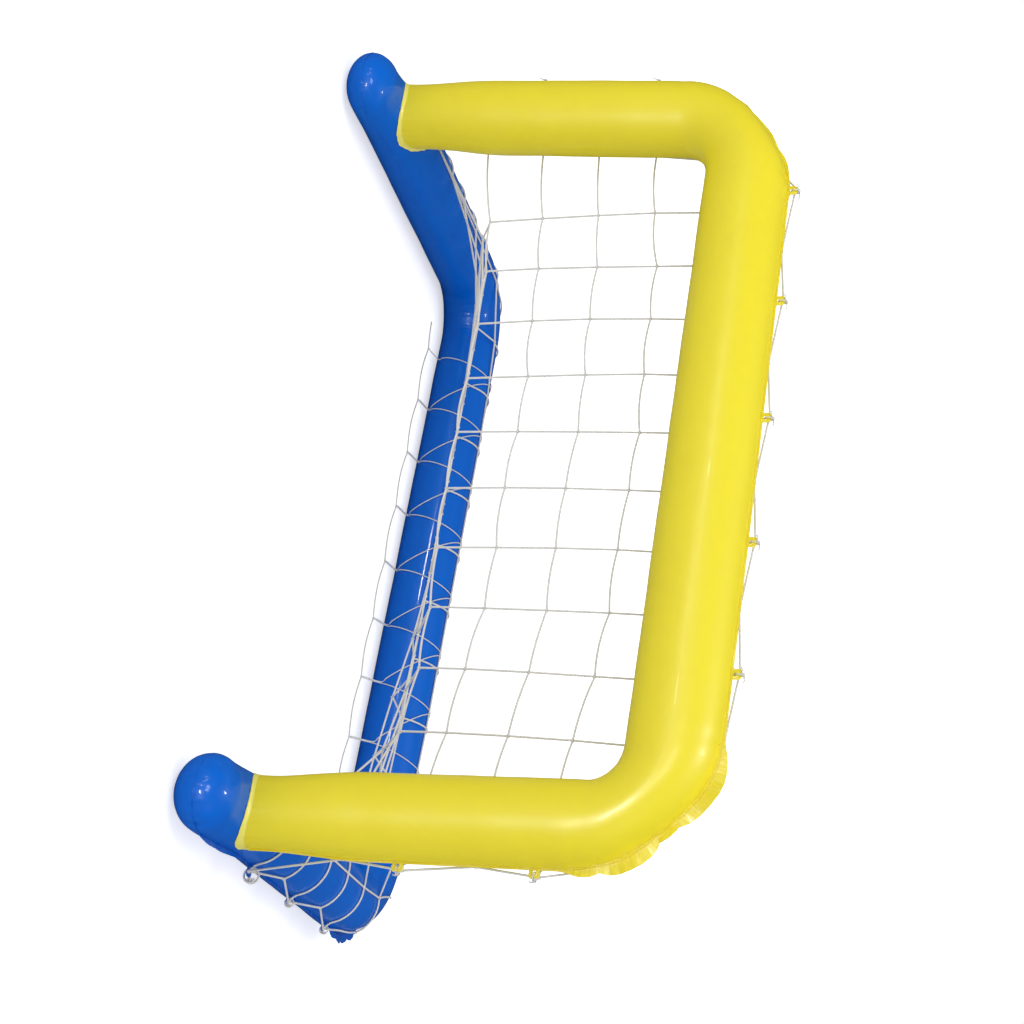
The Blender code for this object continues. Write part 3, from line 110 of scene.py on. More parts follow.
FOOT_FOLDS = ((24, 0.0030, 0.95, 0.055), (58, 0.0016, 0.7, 0.050))  # degrees round, depth, reach up, width

# Kinds of crease: depth and its random share, reach round the tube and its random share, lean, width
SHORT_CREASE = (PUCKER_DEPTH, (0.25, 0.6), PUCKER_REACH, (0.35, 0.8), 0.006, SHORT_CREASE_WIDTH)
LONG_CREASE = (LONG_CREASE_DEPTH, (0.5, 1.0), 1.0, (1.5, 2.4), 0.014, LONG_CREASE_WIDTH)
INNER_CREASE = (INNER_CREASE_DEPTH, (0.4, 1.0), 1.0, (0.5, 1.1), 0.008, INNER_CREASE_WIDTH)
CUSP_CREASE_SHARES = ((0.8, 1.7), (0.7, 1.15))  # of the puckers' reach and depth
CUSP_CREASE_LEAN = 0.010
LONG_CREASE_PLACES = (-0.012, 0.055, 0.010)  # beside the start of a bend, twice, and beside its end

# Outer side of the left and right top corners: how far inside the true round, and its skew
CORNER_FLAT = ((0.0215, 1.35), (0.0200, 1.0))
TRUE_ROUND = ((0.0, 1.0), (0.0, 1.0))
CORNER_EASE = 0.0300
SETTLE_REACH = 1.25         # cords this many radii from the axis follow it
SETTLE_FADE = 0.5

# Ruffled flanges, with cusps measured from the start of the left and right bend
FLANGE_ROWS = 6             # points across
FLANGE_STEP = 0.0022
FLANGE_INSIDE = 0.0012      # root of a flange below the deepest pucker
FLANGE_CLEAR = 0.0002
NARROW_INSIDE = 0.0025      # root of a narrow seam
FLANGE_DEPTH = 0.0040       # root inside the skins, in flat coordinates
FLANGE_SPREAD = 0.0200      # and width
RIPPLE_PITCH = 0.0110       # along the flange's edge
RIPPLE_HEIGHT = 0.0008
RIPPLE_DRIFT = (1.7, 0.031)  # a swing's size, and the length over which it turns by a radian
WAVE_HEIGHT = 0.0028        # slower waves
WAVE_LENGTH = 0.0093
WAVE_DRIFT = (1.3, 0.05)
SEAM_DRIFT = (0.0004, 0.021)  # of every seam, also on straight runs
PORTAL_CUSPS = ((-0.040, 0.020, 0.085, 0.150, 0.200, 0.240), (-0.030, 0.018, 0.083, 0.108, 0.205))
PORTAL_FLANGE_WIDTH = 0.0115
PORTAL_LOBE_HEIGHT = 0.0135
PORTAL_LOBE_SPAN = 0.0500   # between two cusps for a full lobe
PORTAL_LEFT_SHARE = 0.28    # the left corner's ruffle is narrower
BASE_CUSPS = 2 * ((-0.040, -0.015, 0.012, 0.034, 0.052, 0.072, 0.090, 0.110, 0.128, 0.150, 0.172, 0.196, 0.228),)
BASE_FLANGE_WIDTH = 0.0150
BASE_LOBE_HEIGHT = 0.0075
BASE_LOBE_SPAN = 0.0180
SKIN_GAP = 0.00002          # between the two half skins
FLUSH_SEAM = -0.0002        # the base's seam is hidden inside and round its feet
INNER_RIDGE = 0.0004
WELD_LINE = 0.0042          # across the flange, in flat coordinates
PRESSED_PITCH = 0.0042      # of the fine ripples pressed into it

# Cords
CORD_RADIUS = 0.00185       # net strand
NET_SLOPE = 0.341           # of the net between its last hanging row and the rear bar
NET_RIM_EASE = 0.5
NET_LOOSE_ROWS = {6: 0.016, 10: -0.036}  # rows off the even slope at the right end
NET_LOOSE_COLUMNS = (7, 10)  # from where it starts to where it is full
LACING_PINCH = 0.0012       # half the width where two arms meet
LACING_TILT = 18.6          # degrees from which the arms look straight
LACING_RISE = 31.0          # degrees by which they meet higher at the right end
LACING_RISE_TURNS = (4, 7)
LACING_STEP = 0.0035
KNOT_TILT = 0.8             # radians from the row to each crossing turn
KNOT_TILT_SPREAD = 0.3
KNOT_ASIDE = 0.0009         # these turns beside the knot's middle
KNOT_TURN = (0.0021, 0.00125)  # radius and cord radius
KNOT_BAND = (0.0018, 0.0012)   # the same for the turn round both
CORD_SIDES = 8
KNOT_SIDES = 6
CORD_STEP = 0.0055
TWIST_PITCH = 0.0060

# Feet under the posts: pressed down, outwards and forwards, left and right
FOOT_PRESS = {-1: (0.0300, 0.0010, 0.0040), 1: (0.0200, 0.0065, 0.0100)}
FOOT_PRESS_REACH = 0.1250
FOOT_PRESS_FADE = 0.1800
FOOT_PRESS_ASIDE = 0.45     # nothing nearer the middle is pressed
FOOT_RUFFLE = 0.55
FOOT_RUFFLE_REACH = 0.1500

# Studio: each lamp has a name, place, size and watts, lights the object, is seen in reflections
FLOOR_SIZE = 14.0
FLOOR_TONES = ((0.86, 0.86, 0.86), (0.88, 0.88, 0.88))
FLOOR_DULL = (0.07, 0.07, 0.07, 1.0)  # as reflections see it
FLOOR_GLOW = 0.55
FLOOR_FADE = (1.0, 2.6)     # it brightens between these distances from the middle
WORLD_LIGHT = 0.52
WORLD_GLOSS = 0.06
LAMP_TARGET = (0.0, 0.0, 0.4)
LAMPS = (
    ("key", (-1.6, -4.2, 3.2), (2.6, 2.6), 86.0, True, False),
    ("top", (0.3, -0.4, 3.6), (3.0, 3.0), 34.0, True, False),
    ("side", (3.6, -2.0, 2.2), (1.8, 1.8), 30.0, True, False),
    ("front", (0.6, -5.0, 2.6), (1.2, 1.2), 50.0, False, True),
    ("low", (1.6, -4.4, 0.35), (1.0, 0.5), 120.0, False, True),
    ("spark_top", (0.35, -0.40, 3.7), (0.30, 0.30), 24.0, False, True),
    ("spark_left", (-1.95, -4.60, 1.3), (0.26, 0.26), 20.0, False, True),
    ("spark_low", (-1.10, -5.0, 0.7), (0.24, 0.24), 14.0, False, True),
)

# Portal: two posts and a crossbar in one tube
PORTAL_WIDTH = 1.400        # outside to outside of the posts at the top
PORTAL_HEIGHT = 0.812       # ground to the top of the crossbar
CROSSBAR_RADIUS = 0.0724
POST_RADIUS = 0.0672
POST_NECK_SHARE = 0.9274    # radius of a post where it is welded to the base, as a share of the base's
POST_NECK_LENGTH = 0.16     # height over which the post swells from its neck
POST_BURIED = 0.20          # the skins start this share of the base's radius above its axis, then are cut
PORTAL_BEND_RADIUS = 0.125  # centre line
CROSSBAR_OVERHANG = 0.036   # crossbar axis in front of the feet of the posts

# Base: two side tubes with round feet, and a rear bar
BASE_RADIUS = 0.0620
POST_FOOT_SPREAD = 0.0334   # how much further out a post's foot is than its top
POST_FOOT_OUT = 0.0040      # foot of a post outside the middle of its side tube
BASE_REAR_SPREAD = 0.0190   # how much further out the side tubes end at the back
BASE_BEND_RADIUS = 0.120
POST_TO_REAR = 0.6650       # foot of a post to the axis of the rear bar
FOOT_LENGTH = 0.0890        # foot of a post to the centre of the round end
CROSSBAR_Y = -0.3339        # puts the whole goal's middle over the origin
POST_FOOT_Y = CROSSBAR_Y + CROSSBAR_OVERHANG
FOOT_Y = POST_FOOT_Y - FOOT_LENGTH
POST_FOOT_X = PORTAL_WIDTH / 2 - POST_RADIUS + POST_FOOT_SPREAD
BASE_HALF_SPACING = POST_FOOT_X - POST_FOOT_OUT  # side tube axis at the posts
POST_NECK_RADIUS = POST_NECK_SHARE * BASE_RADIUS

# Vinyl skins and seams
WALL = 0.0004
GAP = 0.0003                # between touching pieces
BASE_AXIS_Z = BASE_RADIUS * math.cos(math.pi / (2 * CAD_FACETS)) + GAP / 2  # lowest facet on the ground
SEAM_THICKNESS = 0.0008
SEAM_WIDTH = 0.0040
RUFFLE_OVERRUN = 0.040      # ruffles run on past each end of a bend
SADDLE_CLEARANCE = 0.0005   # post cut off the base
WELD_STEPS = 120
WELD_FILLET = ((0.0003, 0.0058), (0.0005, 0.0042), (0.0008, 0.0030), (0.0010, 0.0020))  # off post, off base
WELD_FOOT = (0.0012, 0.0015)
WELD_LIP = ((0.0014, 0.0011), (0.0026, 0.0010))  # further out on the base, off it
WELD_EDGE = (0.0034, 0.0013)
WELD_RIPPLES = ((0.0005, 13), (0.0004, 29))  # height, waves round the weld
SEAM_END_HEIGHT = 0.0330    # portal seams stop this far above the base's widest line

# Eyelet tabs and ties
TAB_THICKNESS = 0.0012
TAB_SWELL = 0.75            # share of it above the middle where a tab is fullest
TAB_WIDTH = 0.0180
TAB_LENGTH = 0.0175         # reach beyond the tube
TAB_ROOT = 0.0007           # root of a tab off the tube
TAB_ROUNDING = 0.6          # of its corners, as a share of its half width
TAB_PROFILE = ((0.0, 0.3), (0.08, 1.0), (0.22, 1.0), (0.30, 0.45), (0.55, 0.38), (0.80, 0.38), (0.95, 0.30),
               (1.0, 0.0))  # from the hole to the edge, height
TAB_RIM = 0.0014            # least width round the hole
FOOT_TAB_SIZE = 1.25        # foot tabs are larger by this
TIE_RADIUS = 0.0075         # loop, at the middle of the cord
TIE_CORD_RADIUS = 0.0011
TIE_HOLE_RADIUS = 0.0024
FOOT_TIE_RADIUS = 0.0120
FOOT_TIE_CORD_RADIUS = 0.0018
FOOT_TIE_HOLE_RADIUS = 0.0032
TIE_ADVANCE = 0.0019        # half of a loop's advance along the seam
TIE_TAIL = 0.010
TIE_TAIL_ALONG = 0.8        # shares of a tail's length along the seam and back from it
TIE_TAIL_BACK = 0.3
TIE_TAIL_SHAPE = ((0.45, 0.06), (0.8, 0.0), (1.0, -0.10))  # shares of it on the way, and outwards
TIE_START = -55.0           # degrees from straight out to the loop's first end
TIE_TURN = 450.0            # degrees round
TIE_CENTRE_BACK = 0.45      # share of its radius that a loop's centre is behind the tab
TIE_STEPS = 48              # round the loop
TIE_STEP = 0.0012
TIE_KNOT_TURNS = ((-0.9, 0.35), (0.9, -0.35), (0.0, 0.0))  # along the seam in cord radii, tilt
TIE_KNOT_RADIUS = 1.75      # in cord radii
TIE_BESIDE_KNOT = 0.0065    # the loop holds the net beside its knot
FOOT_TIE_BESIDE_KNOT = 0.0091

# Net
NET_COLUMNS = 13            # meshes across
NET_ROWS = 13               # meshes from the crossbar's seam to the rear bar's seam
NET_PITCH_HANGING = 0.07786 * PORTAL_WIDTH
NET_PITCH_REAR = 0.08821 * PORTAL_WIDTH
NET_ROW_PITCH = 0.1070
NET_OVER_BAR_ANGLE = 66.0   # degrees from the seam to the row that lies over the crossbar
NET_FIRST_HANGING = 3       # first row that hangs free of the crossbar
NET_FIRST_BELOW = 0.1416    # that row below the crossbar's axis
NET_LAST_HANGING = 6        # below it the net slopes back to the rear bar
NET_FRONT_ROW = 11          # row along the front of the rear bar
NET_FRONT_ANGLE = 152.0     # degrees from the rear seam over the top to that row
NET_DRIFT = 0.038           # how far the hanging rows swing back
NET_DRIFT_POWER = 1.7       # more so the lower they are
NET_EDGE_DROOP = 0.081      # the hanging rows are lower towards the sides
NET_DROOP_POWER = 3
NET_EDGE_REACH = 0.0135     # tied edge beyond the tube
NET_EDGE_BACK = 0.0040      # tied edge behind its tab
NET_EDGE_ANGLE = 24.0       # degrees from the seam to the edge where it isn't tied
NET_POST_ANGLE = 122.0      # degrees from a post's outer seam to the net's second column
NET_SIDE_ANGLE = 96.0       # the same on a side tube
NET_BEND_ANGLE = 40.8       # the same beside a bend of the portal
NET_CORNER_ANGLE = 30.0     # and beside a rear corner
NET_SEAT = 0.0028           # middle of a strand off the tube that it lies on
NET_GROUND = 0.0030         # middle of a strand off the ground
NET_SEED = 5
NET_SAG = 0.0040
NET_WAVE = 0.0060
NET_WAVE_ACROSS = 1.9       # radians from one column to the next
NET_WAVE_DOWN = 0.8         # and from one row to the next
NET_BELOW_BEND = 0.062      # first row on a post below the bend
NET_ABOVE_BASE = 0.114      # last row on a post above the base
NET_BEHIND_POST = 0.0305    # first row on a side tube behind the post
NET_PAST_CORNER = 0.035     # last row on a side tube beyond the start of the rear corner
NET_BEND_TURN = 0.045       # rows beside a bend, from its start
RIM_SHARES = {2: (0.30, 0.12), 3: (0.08, 0.0)}  # how far columns beside the rim follow it, back and down
TIED_COLUMNS = (2, 4, 6, 8, 10)      # at the crossbar
TIED_REAR_COLUMNS = (3, 5, 8, 10)
TIED_POST_ROWS = (3, 5)
FOOT_ROW = 7
TIED_BASE_ROWS = (9, 11)

# Zigzag lacing over the rear bar, and the foot rope that it holds
LACING_RADIUS = 0.0011
LACING_TURNS = 9
LACING_SHIFT = -0.05        # middle lower turn beside the bar's middle, in pitches of the net's rear columns
LACING_LEAN = 0.275         # each upper turn beside its lower turn, in the same pitches
LACING_SPLIT = 0.0030       # half of a turn's width
LACING_SEAT = 0.0018        # its middle off the tube
LACING_ARM_STEPS = 14
LACING_TOP_ANGLE = 60.0     # degrees from the rear seam to the upper turns, on a facet's edge
LACING_FOOT_ANGLE = 228.0   # degrees to where two arms meet
ROPE_RADIUS = 0.0014
ROPE_FRONT = 0.0850         # rope in front of the rear bar's axis
ROPE_SCALLOP = 0.0130       # further in front between two lower turns
ROPE_STEPS = 16             # from one lower turn to the next; it ends half as far beyond them

# Inflation valves
VALVE_FLANGE_RADIUS = 0.0180
VALVE_FLANGE_SEAT = 0.0006  # off the tube's true round
VALVE_FLANGE_RINGS = ((0.0100, 0.0013), (0.0112, 0.0008), (0.0150, 0.0008), (0.0156, 0.0011), (0.0166, 0.0011),
                      (0.0172, 0.0007))  # radius and height
VALVE_FLANGE_EDGE = (0.0012, 0.0003)  # height round the stem and at the rim
TURNED_ROUNDING = (0.0004, 0.0005, 0.0002)  # edges of the stem, cap and flap
BLUNT = 0.0003              # edges of the strap and the cap's lug
STEM_RADIUS = 0.0075
STEM_BORE = 0.0042
STEM_HOLE_EASE = 0.0028     # the skin is open this far round it
STEM_HOLE_DEPTH = 0.0200
STEM_OUT = 0.0160           # mouth above the skin when the valve is pulled out
STEM_IN = 0.0160            # end below the skin
STEM_RIM_RADIUS = 0.0095
STEM_RIM_TOP = 0.0026
STEM_RIM_THICKNESS = 0.0012
CAP_RADIUS = 0.0080
CAP_THICKNESS = 0.0020
STOPPER_TOP_RADIUS = 0.0035
STOPPER_TIP_RADIUS = 0.0032
STOPPER_LENGTH = 0.0040
CAP_SHELF_START = 0.6       # share of the cap's radius at which its lug begins
CAP_SHELF_INSET = 0.0002    # lug within the cap's thickness
HINGE_OFFSET = 0.0112
HINGE_DROP = 0.0028         # cap hinge below the mouth
STRAP_THICKNESS = 0.0015
STRAP_WIDTH = 0.0050
STRAP_RING_WIDTH = 0.0016
STRAP_END = 0.0009          # strap beyond the hinge line
LUG_GAP = 0.0014            # cap lug off the hinge line
FLAP_RADIUS = 0.0052
FLAP_THICKNESS = 0.0006
PORTAL_VALVE_HEIGHT = 0.290
PORTAL_VALVE_ANGLE = 90.0   # degrees from the outer seam, straight back
BASE_VALVE_X = -0.240
BASE_VALVE_ANGLE = -25.0    # degrees below the rear seam


def smoothstep(value):
    t = min(1.0, max(0.0, value))
    return t * t * (3.0 - 2.0 * t)


def turns(count):
    """Even angles once round."""
    return [2 * math.pi * k / count for k in range(count)]


def evenly(total, count):
    return [total * k / count for k in range(count + 1)]


class BentPath:
    """A flat centre line of straight runs with round bends at its inner corners."""

    def __init__(self, corners, bend_radius):
        self.runs = []
        self.length = 0.0
        start = Vector(corners[0])
        for here, after in zip(corners[1:-1], corners[2:]):
            corner = Vector(here)
            arriving = (corner - start).normalized()
            leaving = (Vector(after) - corner).normalized()
            turn = arriving.angle(leaving)
            setback = bend_radius * math.tan(turn / 2.0)
            self.add_straight(start, corner - arriving * setback)
            self.add_bend(corner - arriving * setback, arriving, leaving, bend_radius, turn)
            start = corner + leaving * setback
        self.add_straight(start, Vector(corners[-1]))

    def add_straight(self, start, end):
        run = (end - start).length
        self.runs.append(("straight", self.length, run, start, (end - start).normalized()))
        self.length += run

    def add_bend(self, start, arriving, leaving, radius, turn):
        side = 1.0 if arriving.x * leaving.y - arriving.y * leaving.x > 0.0 else -1.0
        normal = Vector((-arriving.y, arriving.x)) * side
        centre = start + normal * radius
        self.runs.append(("bend", self.length, radius * turn, centre, (start - centre, side, turn)))
        self.length += radius * turn

    def at(self, distance):
        """Point and direction of travel at a distance along the path."""
        kind, begins, run, anchor, data = self.runs[0]
        for candidate in self.runs:
            if distance >= candidate[1] - 1e-9:
                kind, begins, run, anchor, data = candidate
        along = distance - begins
        if kind == "straight":
            return anchor + data * along, data
        spoke, side, turn = data
        angle = side * turn * along / run
        spun = Matrix.Rotation(angle, 2) @ spoke
        heading = Vector((-spun.y, spun.x)).normalized() * side
        return anchor + spun, heading

    def bends(self):
        return [(run[1], run[1] + run[2]) for run in self.runs if run[0] == "bend"]


class Tube:
    """An inflated tube round a flat path: places on it are named by distance and angle.

    Angle 0 is the outer seam, 90 degrees faces the plane's normal, 180 is the inner seam.
    """

    def __init__(self, path, origin, along, radius_at):
        self.path = path
        self.length = path.length
        self.bend = path.bends()[0]
        self.origin = Vector(origin)
        self.across = Vector((1, 0, 0))
        self.along = Vector(along).normalized()
        self.normal = self.along.cross(self.across)
        if self.normal.y < -0.5 or self.normal.z < -0.5:
            self.normal = -self.normal
        self.radius_at = radius_at

    def mirrored(self, distance, side):
        """A distance on the left, or the same place on the right."""
        return distance if side < 0 else self.length - distance

    def lift(self, flat):
        return self.across * flat.x + self.along * flat.y

    def centre(self, distance):
        return self.origin + self.lift(self.path.at(distance)[0])

    def tangent(self, distance):
        return self.lift(self.path.at(distance)[1])

    def outward(self, distance):
        heading = self.path.at(distance)[1]
        return self.lift(Vector((-heading.y, heading.x)))

    def direction(self, distance, angle):
        return self.outward(distance) * math.cos(angle) + self.normal * math.sin(angle)

    def surface(self, distance, angle, off=0.0):
        reach = self.radius_at(distance) + off
        return self.centre(distance) + self.direction(distance, angle) * reach

    def beside_seam(self, distance, out, back):
        """A point beyond the outer seam, and back from it along the plane's normal."""
        reach = self.radius_at(distance) + out
        return self.centre(distance) + self.outward(distance) * reach + self.normal * back


def make_portal_tube():
    foot = Vector((0.0, POST_FOOT_Y, BASE_AXIS_Z))
    top = Vector((0.0, CROSSBAR_Y, PORTAL_HEIGHT - CROSSBAR_RADIUS))
    lean = top - foot
    start = POST_BURIED * BASE_RADIUS / lean.normalized().z
    half_top = PORTAL_WIDTH / 2 - POST_RADIUS
    corners = [(-POST_FOOT_X, start), (-half_top, lean.length),
               (half_top, lean.length), (POST_FOOT_X, start)]
    path = BentPath(corners, PORTAL_BEND_RADIUS)
    first_bend, bend_end = path.bends()[0]

    def radius_at(distance):
        near = min(distance, path.length - distance)
        neck = smoothstep((near + start - BASE_RADIUS) / POST_NECK_LENGTH)
        post = POST_NECK_RADIUS + (POST_RADIUS - POST_NECK_RADIUS) * neck
        share = smoothstep((near - first_bend) / (bend_end - first_bend))
        return post + (CROSSBAR_RADIUS - post) * share

    return Tube(path, foot, lean, radius_at)


def make_base_tube():
    rear = POST_FOOT_Y + POST_TO_REAR
    wide = BASE_HALF_SPACING + BASE_REAR_SPREAD
    corners = [(-BASE_HALF_SPACING, FOOT_Y), (-wide, rear), (wide, rear), (BASE_HALF_SPACING, FOOT_Y)]
    path = BentPath(corners, BASE_BEND_RADIUS)
    return Tube(path, (0, 0, BASE_AXIS_Z), (0, 1, 0), lambda distance: BASE_RADIUS)


def foot_point(portal, base, side, angle, aside, lift):
    """Where a line down a post, set off its skin, is a lift above the base's side tube."""
    distance = 0.0 if side < 0 else portal.length
    for _round in range(6):
        spot = portal.surface(distance, angle, aside)
        axis = base.centre(side_place(base, spot.y, side))
        height = math.sqrt((BASE_RADIUS + lift) ** 2 - (spot.x - axis.x) ** 2)
        distance += (axis.z + height - spot.z) / portal.tangent(distance).z
    return portal.surface(distance, angle, aside)


def ruffle_share(path, distance):
    """0 on straight runs, rising to 1 over each bend."""
    share = 0.0
    for start, end in path.bends():
        inside = min(distance - start, end - distance) + RUFFLE_OVERRUN
        share = max(share, smoothstep(inside / (2 * RUFFLE_OVERRUN)))
    return share


def tube_samples(tube):
    """Axis points and radii along a tube, for laying the net on it."""
    steps = int(tube.length / SAMPLE_STEP)
    places = evenly(tube.length, steps)
    centres = np.array([tuple(tube.centre(place)) for place in places])
    radii = np.array([tube.radius_at(place) for place in places])
    return centres, radii


def laid_on(point, bodies):
    """A strand that would sink into a tube or the ground lies on it instead."""
    spot = np.array(tuple(point))
    for _round in range(2):
        for centres, radii in bodies:
            apart = np.linalg.norm(centres - spot, axis=1)
            nearest = int(np.argmin(apart - radii))
            wanted = radii[nearest] + NET_SEAT
            if apart[nearest] < wanted:
                spot = centres[nearest] + (spot - centres[nearest]) * (wanted / apart[nearest])
        spot[2] = max(spot[2], NET_GROUND)
    return Vector(spot)


def bar_place(tube, column, pitch):
    """Distance at which a column crosses the crossbar or the rear bar."""
    return tube.length / 2 + column_x(column, pitch)


def post_place(tube, z, side):
    """Distance along the portal at which a post is at a height."""
    return tube.mirrored((z - tube.centre(0.0).z) / tube.tangent(0.0).z, side)


def side_place(tube, y, side):
    """Distance along the base at which a side tube is at y."""
    return tube.mirrored((y - tube.centre(0.0).y) / tube.tangent(0.0).y, side)


def bend_place(tube, from_start, side):
    return tube.mirrored(tube.bend[0] + from_start, side)


def on_skin(tube, distance, degrees):
    """Middle of a strand that lies on a tube."""
    return tube.surface(distance, math.radians(degrees), NET_SEAT)


def edge_point(tube, distance, tied):
    """Where the net's edge lies beside a seam: in its tie, or down on the tube between ties."""
    if tied:
        return tube.beside_seam(distance, NET_EDGE_REACH, NET_EDGE_BACK)
    return on_skin(tube, distance, NET_EDGE_ANGLE)


def column_x(column, pitch):
    return (column - NET_COLUMNS / 2) * pitch


def post_row_place(portal, row, side):
    """Distance along the portal at which a row crosses a post."""
    top = portal.centre(portal.bend[0]).z - NET_BELOW_BEND
    bottom = BASE_AXIS_Z + BASE_RADIUS + NET_ABOVE_BASE
    share = (row - NET_FIRST_HANGING) / (FOOT_ROW - 1 - NET_FIRST_HANGING)
    return post_place(portal, top + (bottom - top) * share, side)


def side_row_y(row, base):
    """Where the rows cross the side tubes, from just behind the posts to the rear corner."""
    first = POST_FOOT_Y + POST_NECK_RADIUS + NET_BEHIND_POST
    last = base.centre(base.bend[0]).y + NET_PAST_CORNER
    return first + (last - first) * (row - FOOT_ROW) / (NET_ROWS - 1 - FOOT_ROW)


def hanging_knot(column, row):
    """A knot that hangs behind the portal's mouth, a little unevenly; the rows droop towards the sides."""
    first = PORTAL_HEIGHT - CROSSBAR_RADIUS - NET_FIRST_BELOW
    aside = abs(column - NET_COLUMNS / 2) / (NET_COLUMNS / 2)
    height = first - NET_ROW_PITCH * (row - NET_FIRST_HANGING) - NET_EDGE_DROOP * aside ** NET_DROOP_POWER
    wave = NET_WAVE * math.sin(NET_WAVE_ACROSS * column + NET_WAVE_DOWN * row)
    fall = (row - NET_FIRST_HANGING + 1) / (NET_LAST_HANGING - NET_FIRST_HANGING + 1)
    y = CROSSBAR_Y + CROSSBAR_RADIUS + NET_SEAT + NET_DRIFT * fall ** NET_DRIFT_POWER
    return Vector((column_x(column, NET_PITCH_HANGING), y + wave / 2, height + wave / 2))


def middle_knot(column, row, portal, base):
    """A knot of the net's middle columns: over the crossbar, down, back and over the rear bar."""
    crossing = bar_place(portal, column, NET_PITCH_HANGING)
    rear = bar_place(base, column, NET_PITCH_REAR)
    if row == 0:
        return edge_point(portal, crossing, column in TIED_COLUMNS)
    if row == 1:
        return on_skin(portal, crossing, NET_OVER_BAR_ANGLE)
    if row < NET_FIRST_HANGING:
        place = hanging_knot(column, NET_FIRST_HANGING)
        place.y = CROSSBAR_Y + CROSSBAR_RADIUS + NET_SEAT
        place.z += (NET_FIRST_HANGING - row) * NET_ROW_PITCH
        return place
    if row <= NET_LAST_HANGING:
        return hanging_knot(column, row)
    if row <= NET_FRONT_ROW:
        share = (row - NET_LAST_HANGING) / (NET_FRONT_ROW - NET_LAST_HANGING)
        return hanging_knot(column, NET_LAST_HANGING).lerp(on_skin(base, rear, NET_FRONT_ANGLE), share)
    if row < NET_ROWS:
        return on_skin(base, rear, 90)
    return edge_point(base, rear, column in TIED_REAR_COLUMNS)


def corner_knot(tube, column, side, angle):
    """A knot of the outermost two columns in the middle of a bend."""
    start, end = tube.bend
    place = bend_place(tube, (end - start) / 2 + (0.0 if column == 0 else NET_BEND_TURN), side)
    return on_skin(tube, place, NET_EDGE_ANGLE if column == 0 else angle)


def post_knot(column, row, side, portal):
    """A knot of the outermost two columns round the back of a post and its bend."""
    if row == 0:
        return corner_knot(portal, column, side, NET_BEND_ANGLE)
    distance = bend_place(portal, NET_BEND_TURN, side) if row == 1 else post_row_place(portal, row, side)
    if column == 0:
        return edge_point(portal, distance, row in TIED_POST_ROWS)
    return on_skin(portal, distance, NET_POST_ANGLE)


def tube_knot(column, row, side, base):
    """A knot of the outermost two columns over a side tube and its corner."""
    if row == NET_ROWS:
        return corner_knot(base, column, side, NET_CORNER_ANGLE)
    distance = side_place(base, side_row_y(row, base), side)
    if row == NET_ROWS - 1:
        distance = bend_place(base, NET_PAST_CORNER, side)
    if column == 0:
        return edge_point(base, distance, row == FOOT_ROW or row in TIED_BASE_ROWS)
    return on_skin(base, distance, NET_SIDE_ANGLE)


def knot(column, row, portal, base):
    """Place of one knot, easing from the side columns into the middle ones."""
    nearest = min(column, NET_COLUMNS - column)
    side = -1 if column < NET_COLUMNS - column else 1
    if nearest <= 1 and row < FOOT_ROW:
        return post_knot(nearest, row, side, portal)
    if nearest <= 1:
        return tube_knot(nearest, row, side, base)
    place = middle_knot(column, row, portal, base)
    if nearest in RIM_SHARES and FOOT_ROW <= row < NET_ROWS:
        rim = tube_knot(1, row, side, base)
        place.y += (rim.y - place.y) * RIM_SHARES[nearest][0]
        place.z += (rim.z - place.z) * RIM_SHARES[nearest][1]
    return place


def rope_spot(base, distance, forward):
    """A point of the foot rope on the ground, in front of the rear bar."""
    spot = base.centre(distance) - base.outward(distance) * (ROPE_FRONT + forward)
    spot.z = ROPE_RADIUS + GAP
    return spot


# ---- Building blocks ----


def body_of_node(node):
    bodies = frame["record"]["behaviour"]["bodies"]
    return next(body for body, nodes in bodies.items() if node in nodes)


def pressed(spot):
    """The round feet under the posts are pressed flatter, and bulge forwards."""
    side = -1 if spot.x < 0 else 1
    down, out, forward = FOOT_PRESS[side]
    back = (spot.y - FOOT_Y) / FOOT_PRESS_REACH
    height = (spot.z - 2 * BASE_RADIUS) / FOOT_PRESS_FADE
    share = (1.0 - smoothstep(back)) * (1.0 - smoothstep(height))
    low = min(1.0, spot.z / (2 * BASE_RADIUS))
    return spot + Vector((side * out, -forward, -down * low)) * share


def press_feet(obj):
    reach = FOOT_Y + FOOT_PRESS_REACH
    for vert in obj.data.vertices:
        low = vert.co.z < 2 * BASE_RADIUS + FOOT_PRESS_FADE
        if low and vert.co.y < reach and abs(vert.co.x) > FOOT_PRESS_ASIDE:
            vert.co = pressed(vert.co)


def opened(obj):
    """A copy of an object's mesh to edit; put_back writes it into the object again."""
    edit = bmesh.new()
    edit.from_mesh(obj.data)
    return edit


def put_back(edit, obj):
    edit.to_mesh(obj.data)
    edit.free()


def dress(obj, finish, nodes, body=None):
    """Gives a piece its finish, and puts it in the place of the model's nodes."""
    press_feet(obj)
    obj.data.materials.append(finish)
    if nodes:
        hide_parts(*nodes)
    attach(obj, body or body_of_node(nodes[0]))
    return obj


